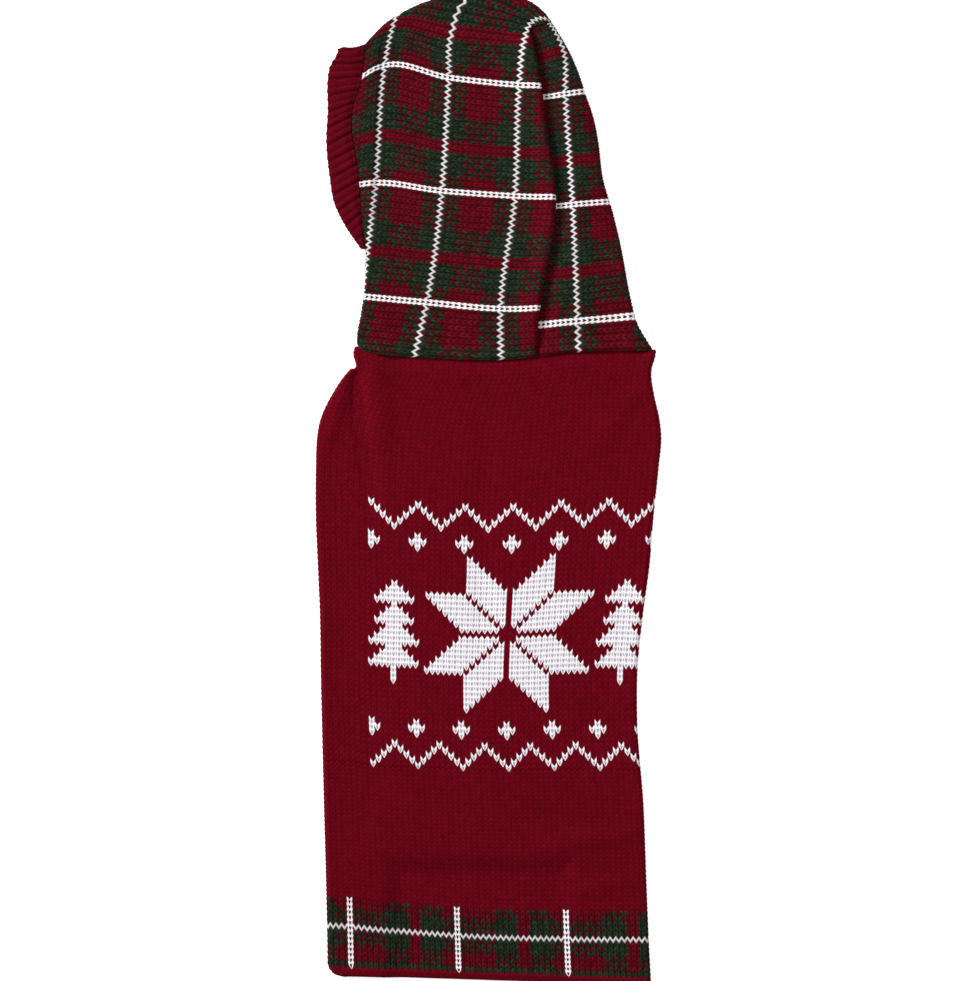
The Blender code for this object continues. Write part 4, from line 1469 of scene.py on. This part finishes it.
@dataclass(frozen=True)
class StitchNet:
    """Net of given knots that lays wales and courses over a part of the hood.

    Args:
        wales: Wale numbers of the net's rows.
        courses: Course numbers of the net's columns.
        knots: Places of the net's knots, (x, y), row by row.
    """

    wales: tuple[float, ...]
    courses: tuple[float, ...]
    knots: np.ndarray

    def plan(self, wale: np.ndarray, course: np.ndarray) -> np.ndarray:
        """Lay stitches out in plan.

        Args:
            wale: Numbers of wales.
            course: Numbers of courses.

        Returns:
            Places in plan, with one more axis.
        """
        by_wale = curve_weights(wale, np.array(self.wales))
        by_course = curve_weights(course, np.array(self.courses))
        places = self.knots.reshape(len(self.wales), len(self.courses), 2)
        return np.einsum("abi,abj,ijx->abx", by_wale, by_course, places)


@dataclass(frozen=True)
class Stretch:
    """One stretch of the hood's cloth.

    Args:
        name: Name of its piece.
        wales: Number of its wales.
        courses: Number of its courses.
        first_wale: Wale that has the plaid's first letter.
        first_course: Course that has the plaid's first letter.
        cut: Its width and length, laid flat; not used.
    """

    name: str
    wales: int
    courses: int
    first_wale: int
    first_course: int
    cut: tuple[float, float]


@dataclass
class Hood:
    """Plaid hood: a strip folded over the crown and sewn down its back edge.

    The two upper parts are laid by nets of knots in the solids' millimetres.
    Their rows follow the white chains, their columns the white zigzags.
    """

    plaid_wales: str = "WRRGGGGNNGGGGRRRRRR"
    plaid_courses: str = "WGGGRRRRRRGGG"
    face_side: Stretch = Stretch("hood_face_side", wales=66, courses=43, first_wale=8,
                                 first_course=8, cut=(115.0 * MM, 240.0 * MM))
    back_side: Stretch = Stretch("hood_back_side", wales=60, courses=30, first_wale=4,
                                 first_course=10, cut=(62.0 * MM, 225.0 * MM))
    under_side: Stretch = Stretch("hood_under_side", wales=62, courses=56, first_wale=5,
                                  first_course=9, cut=(150.0 * MM, 222.0 * MM))
    ring: float = 1.0 * MM                # the upper cloth ends this far under
    lower_pitch: tuple[float, float] = (3.92 * MM, 3.48 * MM)   # wale, course
    lower_start_x: float = 112.0 * MM
    face_net: StitchNet = field(default_factory=lambda: StitchNet(
        (0.0, 8.5, 27.5, 46.5, 54.0, 57.5, 61.5, 66.5),
        (-4.5, 8.5, 21.5, 34.5, 47.5),
        metres((
            (-133.0, 91.0), (-90.0, 89.0), (-48.4, 84.8), (8.1, 83.1), (56.0, 87.5),
            (-126.0, 129.7), (-82.9, 125.1), (-40.0, 121.2), (7.8, 117.0), (51.7, 118.0),
            (-116.0, 190.0), (-73.1, 198.6), (-30.2, 193.4), (17.2, 190.1), (62.1, 188.2),
            (-109.0, 246.0), (-67.3, 274.6), (-25.7, 266.8), (19.8, 261.9), (64.7, 258.4),
            (-102.4, 276.0), (-61.4, 301.3), (-23.7, 296.1), (23.2, 290.9), (67.3, 282.4),
            (-97.5, 292.0), (-56.5, 315.0), (-16.5, 315.0), (28.0, 302.5), (66.0, 282.0),
            (-91.3, 310.0), (-50.4, 332.0), (14.0, 342.0), (38.5, 304.2), (58.0, 275.0),
            (-60.0, 345.0), (0.0, 370.0), (80.0, 335.0), (50.0, 289.0), (60.0, 262.0),
        ))))
    back_net: StitchNet = field(default_factory=lambda: StitchNet(
        (0.0, 4.5, 23.5, 42.5, 50.0, 54.0, 60.5),
        (-2.5, 10.5, 23.5, 36.5),
        metres((
            (15.3, 82.4), (58.2, 87.6), (109.0, 88.8), (156.0, 88.8),
            (15.9, 105.0), (57.5, 108.9), (106.0, 113.5), (152.0, 119.0),
            (12.7, 181.7), (54.3, 184.3), (98.5, 188.5), (142.0, 194.0),
            (8.1, 251.9), (49.7, 255.8), (93.5, 264.0), (136.0, 274.0),
            (10.0, 276.0), (48.6, 284.0), (85.0, 301.0), (118.0, 320.0),
            (12.0, 284.0), (42.5, 298.0), (72.0, 322.0), (96.0, 346.0),
            (16.0, 290.0), (31.0, 306.0), (48.0, 344.0), (62.0, 372.0),
        ))))

    def __post_init__(self) -> None:
        """Work out the hood's fold lines once."""
        self.crown_line = HOOD_FORM.crown_line()
        self.chin_line = HOOD_FORM.chin_line()

    def upper_spots(self, plan: np.ndarray, side: int) -> Spots:
        """Lay flat cloth over the hood's upper side and round its folds.

        Args:
            plan: Places of the flat cloth, (rows, columns, 2).
            side: -1 on the face side of the back seam and 1 past it.

        Returns:
            The spots.
        """
        shape = plan.shape[:2]
        x, y = plan[..., 0].ravel(), plan[..., 1].ravel()
        low = HOOD_FORM.low_edge(x)
        beyond = y < low
        y = np.maximum(y, low)
        lap = HOOD_FORM.seam_lap if side < 0 else -HOOD_FORM.seam_tuck
        limit = HOOD_FORM.seam_x(y) + lap * HOOD_FORM.slit_share(y)
        crossed = side * (x - limit) < 0
        beyond |= crossed
        x = np.where(crossed, limit, x)
        if side < 0:
            x, past_face = HOOD_FORM.at_face(x, y)
            beyond |= past_face

        place = np.stack([x, y], axis=1)
        past, outward = self.crown_line.past(place)
        chin_past, chin_out = self.chin_line.past(place)
        round_chin = (chin_past > 0) & (y <= HOOD_FORM.chin_top) & (x < 0)
        most = CLOTH.fold_length + self.ring
        turned = np.where(round_chin, chin_past, past)
        direction = np.where(round_chin[:, None], chin_out, outward)
        beyond |= turned > most
        offset, height, normal = CLOTH.round_fold(np.clip(turned, 0.0, most), direction)
        start = place - direction * np.maximum(turned, 0.0)[:, None]
        flat_top = HOOD_FORM.top(x, y, side, -past, np.where(x < 0, -chin_past, np.inf))
        height = np.where(turned > 0, height, flat_top)
        point = np.concatenate([start + offset, height[:, None]], axis=1)
        return Spots(point.reshape(*shape, 3), normal.reshape(*shape, 3), beyond.reshape(shape))

    def face_place(self, wale: np.ndarray, course: np.ndarray) -> Spots:
        """Find spots on the face side of the back seam."""
        return self.upper_spots(self.face_net.plan(wale, course), -1)

    def back_place(self, wale: np.ndarray, course: np.ndarray) -> Spots:
        """Find spots past the back seam, up to the fold at the back."""
        return self.upper_spots(self.back_net.plan(wale, course), 1)

    def lower_place(self, wale: np.ndarray, course: np.ndarray) -> Spots:
        """Find spots on the hood's lower layer, which faces down.

        Args:
            wale: Numbers of wales.
            course: Numbers of courses.

        Returns:
            The spots.
        """
        x = (self.lower_start_x - self.lower_pitch[1] * course).ravel()
        y = BODY_FORM.neck_y(x) + CLOTH.seam_gap + self.lower_pitch[0] * wale.ravel()
        x, beyond = HOOD_FORM.at_face(x, y)
        room = self.ring + CLOTH.seam_gap
        by_chin = (y <= HOOD_FORM.chin_top) & (x < 0)
        for line, applies in ((self.crown_line, True), (self.chin_line, by_chin)):
            past, outward = line.past(np.stack([x, y], axis=1))
            out = np.where(applies, np.maximum(past + room, 0.0), 0.0)
            beyond |= out > 0
            x, y = x - outward[:, 0] * out, y - outward[:, 1] * out
        return facing_down(*(values.reshape(wale.shape) for values in (x, y, beyond)))

    def build(self) -> list[bpy.types.Object]:
        """Make the three stretches of the hood.

        Returns:
            The three pieces.
        """
        over = ("folded", (self.under_side.name,))
        pieces = []
        for stretch, place, (held, rests_on) in (
                (self.face_side, self.face_place, over),
                (self.back_side, self.back_place, over),
                (self.under_side, self.lower_place, ("laid", ()))):
            plaid = Plaid(self.plaid_wales, self.plaid_courses, stretch.first_wale,
                          stretch.first_course)
            chart = plaid.yarns(np.arange(stretch.courses)[:, None], np.arange(stretch.wales)[None])
            sheet = StitchSheet(stretch.name, place, chart)
            pieces.append(dress(sheet.build(), ("hood_panel",)))
        return pieces


@dataclass
class FaceBand:
    """Ribbed band round the face opening, folded over the crown."""

    upper_wales: int = 50
    fold_wales: int = 4
    courses: int = 7
    rib_drop: float = 1.0 * MM
    relief: float = 0.35 * MM
    proud: float = 0.9 * MM
    thickness: float = 1.9 * MM
    cut: tuple[float, float] = (0.018, 0.280)
    edge_round: float = 0.7 * MM
    edge_start: float = 0.74              # share of the band's width
    tuck: float = 1.0 * MM                # the band dips where it joins the hood
    tuck_width: float = 0.30              # share of the band's width
    scallop: float = 0.8 * MM             # ribs stand out at the free edge
    slant: float = 0.05                   # ribs rise this much towards the hood
    slant_in: float = 0.12                # shares of the length over which it
    slant_out: float = 0.45               # comes at the chin and goes at the crown
    crown_sag: float = 1.8 * MM           # of the fold over the crown
    crown_start: float = 0.86             # share of the length
    crown_corner: float = 2.2 * MM        # its outer end is rounded off
    crown_corner_start: float = 0.75      # share of the band's width
    # free edge, x and y from the chin to the crown
    free_edge: np.ndarray = table(
        (-82.6, 156.0), (-93.3, 171.9), (-99.8, 185.6), (-102.9, 203.0), (-105.0, 225.0),
        (-104.0, 248.0), (-104.3, 262.0), (-102.5, 275.0), (-97.5, 284.8))

    def place(self, wale: np.ndarray, course: np.ndarray) -> Spots:
        """Find spots from the chin under the hood, over the crown and back down.

        Args:
            wale: Numbers of wales.
            course: Numbers of courses.

        Returns:
            The spots.
        """
        over = wale - self.upper_wales - self.fold_wales
        share = np.where(wale <= self.upper_wales, wale, self.upper_wales - over)
        share = np.clip(share / self.upper_wales, 0.0, 1.0)
        across = course / self.courses
        slant = ease(share / self.slant_in) * ease((1.0 - share) / self.slant_out)
        near = on_path(share + self.slant * slant, FINELY, even_curve(HOOD_FORM.face))
        far = on_path(share, FINELY, even_curve(self.free_edge))
        out = self.scallop * (0.5 - wave((wale - 0.5) / 2)) * across ** 2
        plan = near + (far - near) * across[..., None] + unit(far - near) * out[..., None]
        sag = self.crown_sag * arch(across) + self.crown_corner * late(across, self.crown_corner_start)
        plan[..., 1] -= sag * late(share, self.crown_start)

        bend = np.clip((wale - self.upper_wales) / self.fold_wales, 0.0, 1.0)
        outward = np.zeros_like(plan)
        outward[..., 1] = 1.0
        offset, height, normal = CLOTH.round_fold(CLOTH.fold_length * (1.0 - bend), outward)
        near_crown = np.maximum(HOOD_FORM.face[-1, 1] - near[..., 1], 0.0)
        support = np.full_like(near_crown, CLOTH.wall)
        top = CLOTH.upper_top(near_crown, support, np.zeros_like(near_crown))
        top = top - self.edge_round * late(across, self.edge_start)
        top = top - self.tuck * (1.0 - ease(across / self.tuck_width))
        height = np.where(over > 0, top, height)
        point = np.concatenate([plan + offset, height[..., None]], axis=-1)
        return Spots(point, normal, np.zeros(wale.shape, bool))

    def build(self) -> list[bpy.types.Object]:
        """Make the band.

        Returns:
            Its one piece.
        """
        chart = np.full((self.courses, 2 * self.upper_wales + self.fold_wales), Yarn.RIB_RED)
        sheet = StitchSheet("face_band", self.place, chart, rib_drop=self.rib_drop,
                            relief=self.relief, proud=self.proud, thickness=self.thickness)
        return [dress(sheet.build(), ("face_rib",))]


# --------------------------------------------------------------------------
# Floor, light and view
# --------------------------------------------------------------------------

@dataclass(frozen=True)
class SoftLight:
    """Square soft light that faces the sweater."""

    name: str
    place: tuple[float, float, float]
    size: float
    power: float

    def build(self) -> None:
        """Add the light."""
        lamp = bpy.data.lights.new(self.name, "AREA")
        lamp.shape = "SQUARE"
        lamp.size = self.size
        lamp.energy = self.power
        lit = linked(self.name, lamp)
        lit.location = self.place
        lit.rotation_mode = "QUATERNION"
        lit.rotation_quaternion = (-Vector(self.place)).to_track_quat("-Z", "Y")


@dataclass(frozen=True)
class Studio:
    """Plain pale floor, soft light from above and the camera."""

    view_centre: tuple[float, float] = (0.975 * MM, -0.65 * MM)
    view_width: float = 637.0 * MM
    lens: float = 100.0
    sensor: float = 36.0
    floor_size: float = 60.0              # so that its edge stays out of low views
    floor_drop: float = 0.5 * MM
    floor_colour: Colour = (0.94, 0.94, 0.94)
    floor_roughness: float = 0.95
    floor_specular: float = 0.1
    floor_glow: float = 0.62              # lit from below, as a light table is
    sky_strength: float = 0.41
    lights: tuple[SoftLight, ...] = (
        SoftLight("left_light", (-2.0, 1.1, 1.35), size=0.8, power=87.0),
        SoftLight("right_light", (1.6, 0.6, 2.0), size=1.4, power=16.0),
    )

    def build(self) -> None:
        """Make the floor, the lights and the camera."""
        self.floor()
        self.camera()
        for light in self.lights:
            light.build()
        world = bpy.data.worlds.new("studio")
        world.use_nodes = True
        sky = world.node_tree.nodes["Background"]
        ShaderNet(world.node_tree).fill(sky, {"Color": PURE_WHITE, "Strength": self.sky_strength})
        bpy.context.scene.world = world
        bpy.context.scene.view_settings.view_transform = "Standard"

    def floor(self) -> None:
        """Add the floor, of white paper."""
        paper = bpy.data.materials.new("white_paper")
        paper.use_nodes = True
        ShaderNet(paper.node_tree).fill(paper.node_tree.nodes["Principled BSDF"], {
            "Base Color": (*self.floor_colour, 1.0),
            "Roughness": self.floor_roughness,
            "Specular IOR Level": self.floor_specular,
            "Emission Color": PURE_WHITE,
            "Emission Strength": self.floor_glow,
        })
        half = self.floor_size / 2
        corners = [(-half, -half), (half, -half), (half, half), (-half, half)]
        mesh = bpy.data.meshes.new("floor")
        mesh.from_pydata([(x, y, -self.floor_drop) for x, y in corners], [], [(0, 1, 2, 3)])
        mesh.materials.append(paper)
        floor = linked("floor", mesh)

    def camera(self) -> None:
        """Add the camera, straight above the sweater."""
        camera = bpy.data.cameras.new("camera")
        camera.lens = self.lens
        camera.sensor_width = self.sensor
        seen = linked("camera", camera)
        seen.location = (*self.view_centre, self.view_width * self.lens / self.sensor)
        bpy.context.scene.camera = seen


def triangles(piece: bpy.types.Object) -> int:
    """Number of triangles in a piece's mesh."""
    return sum(len(polygon.vertices) - 2 for polygon in piece.data.polygons)


def main() -> None:
    """Build every part in order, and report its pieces."""
    logging.basicConfig(level=logging.INFO, format="%(name)s: %(message)s")
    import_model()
    for finish in FINISHES.values():
        finish.material()
    Studio().build()
    back = BackPanel()
    for part in (back, BellyPanel(back), LegBand(-1), LegBand(1), Hood(), FaceBand()):
        for piece in part.build():
            log.info("%s: %d triangles", piece.name, triangles(piece))


if __name__ == "__main__":
    main()
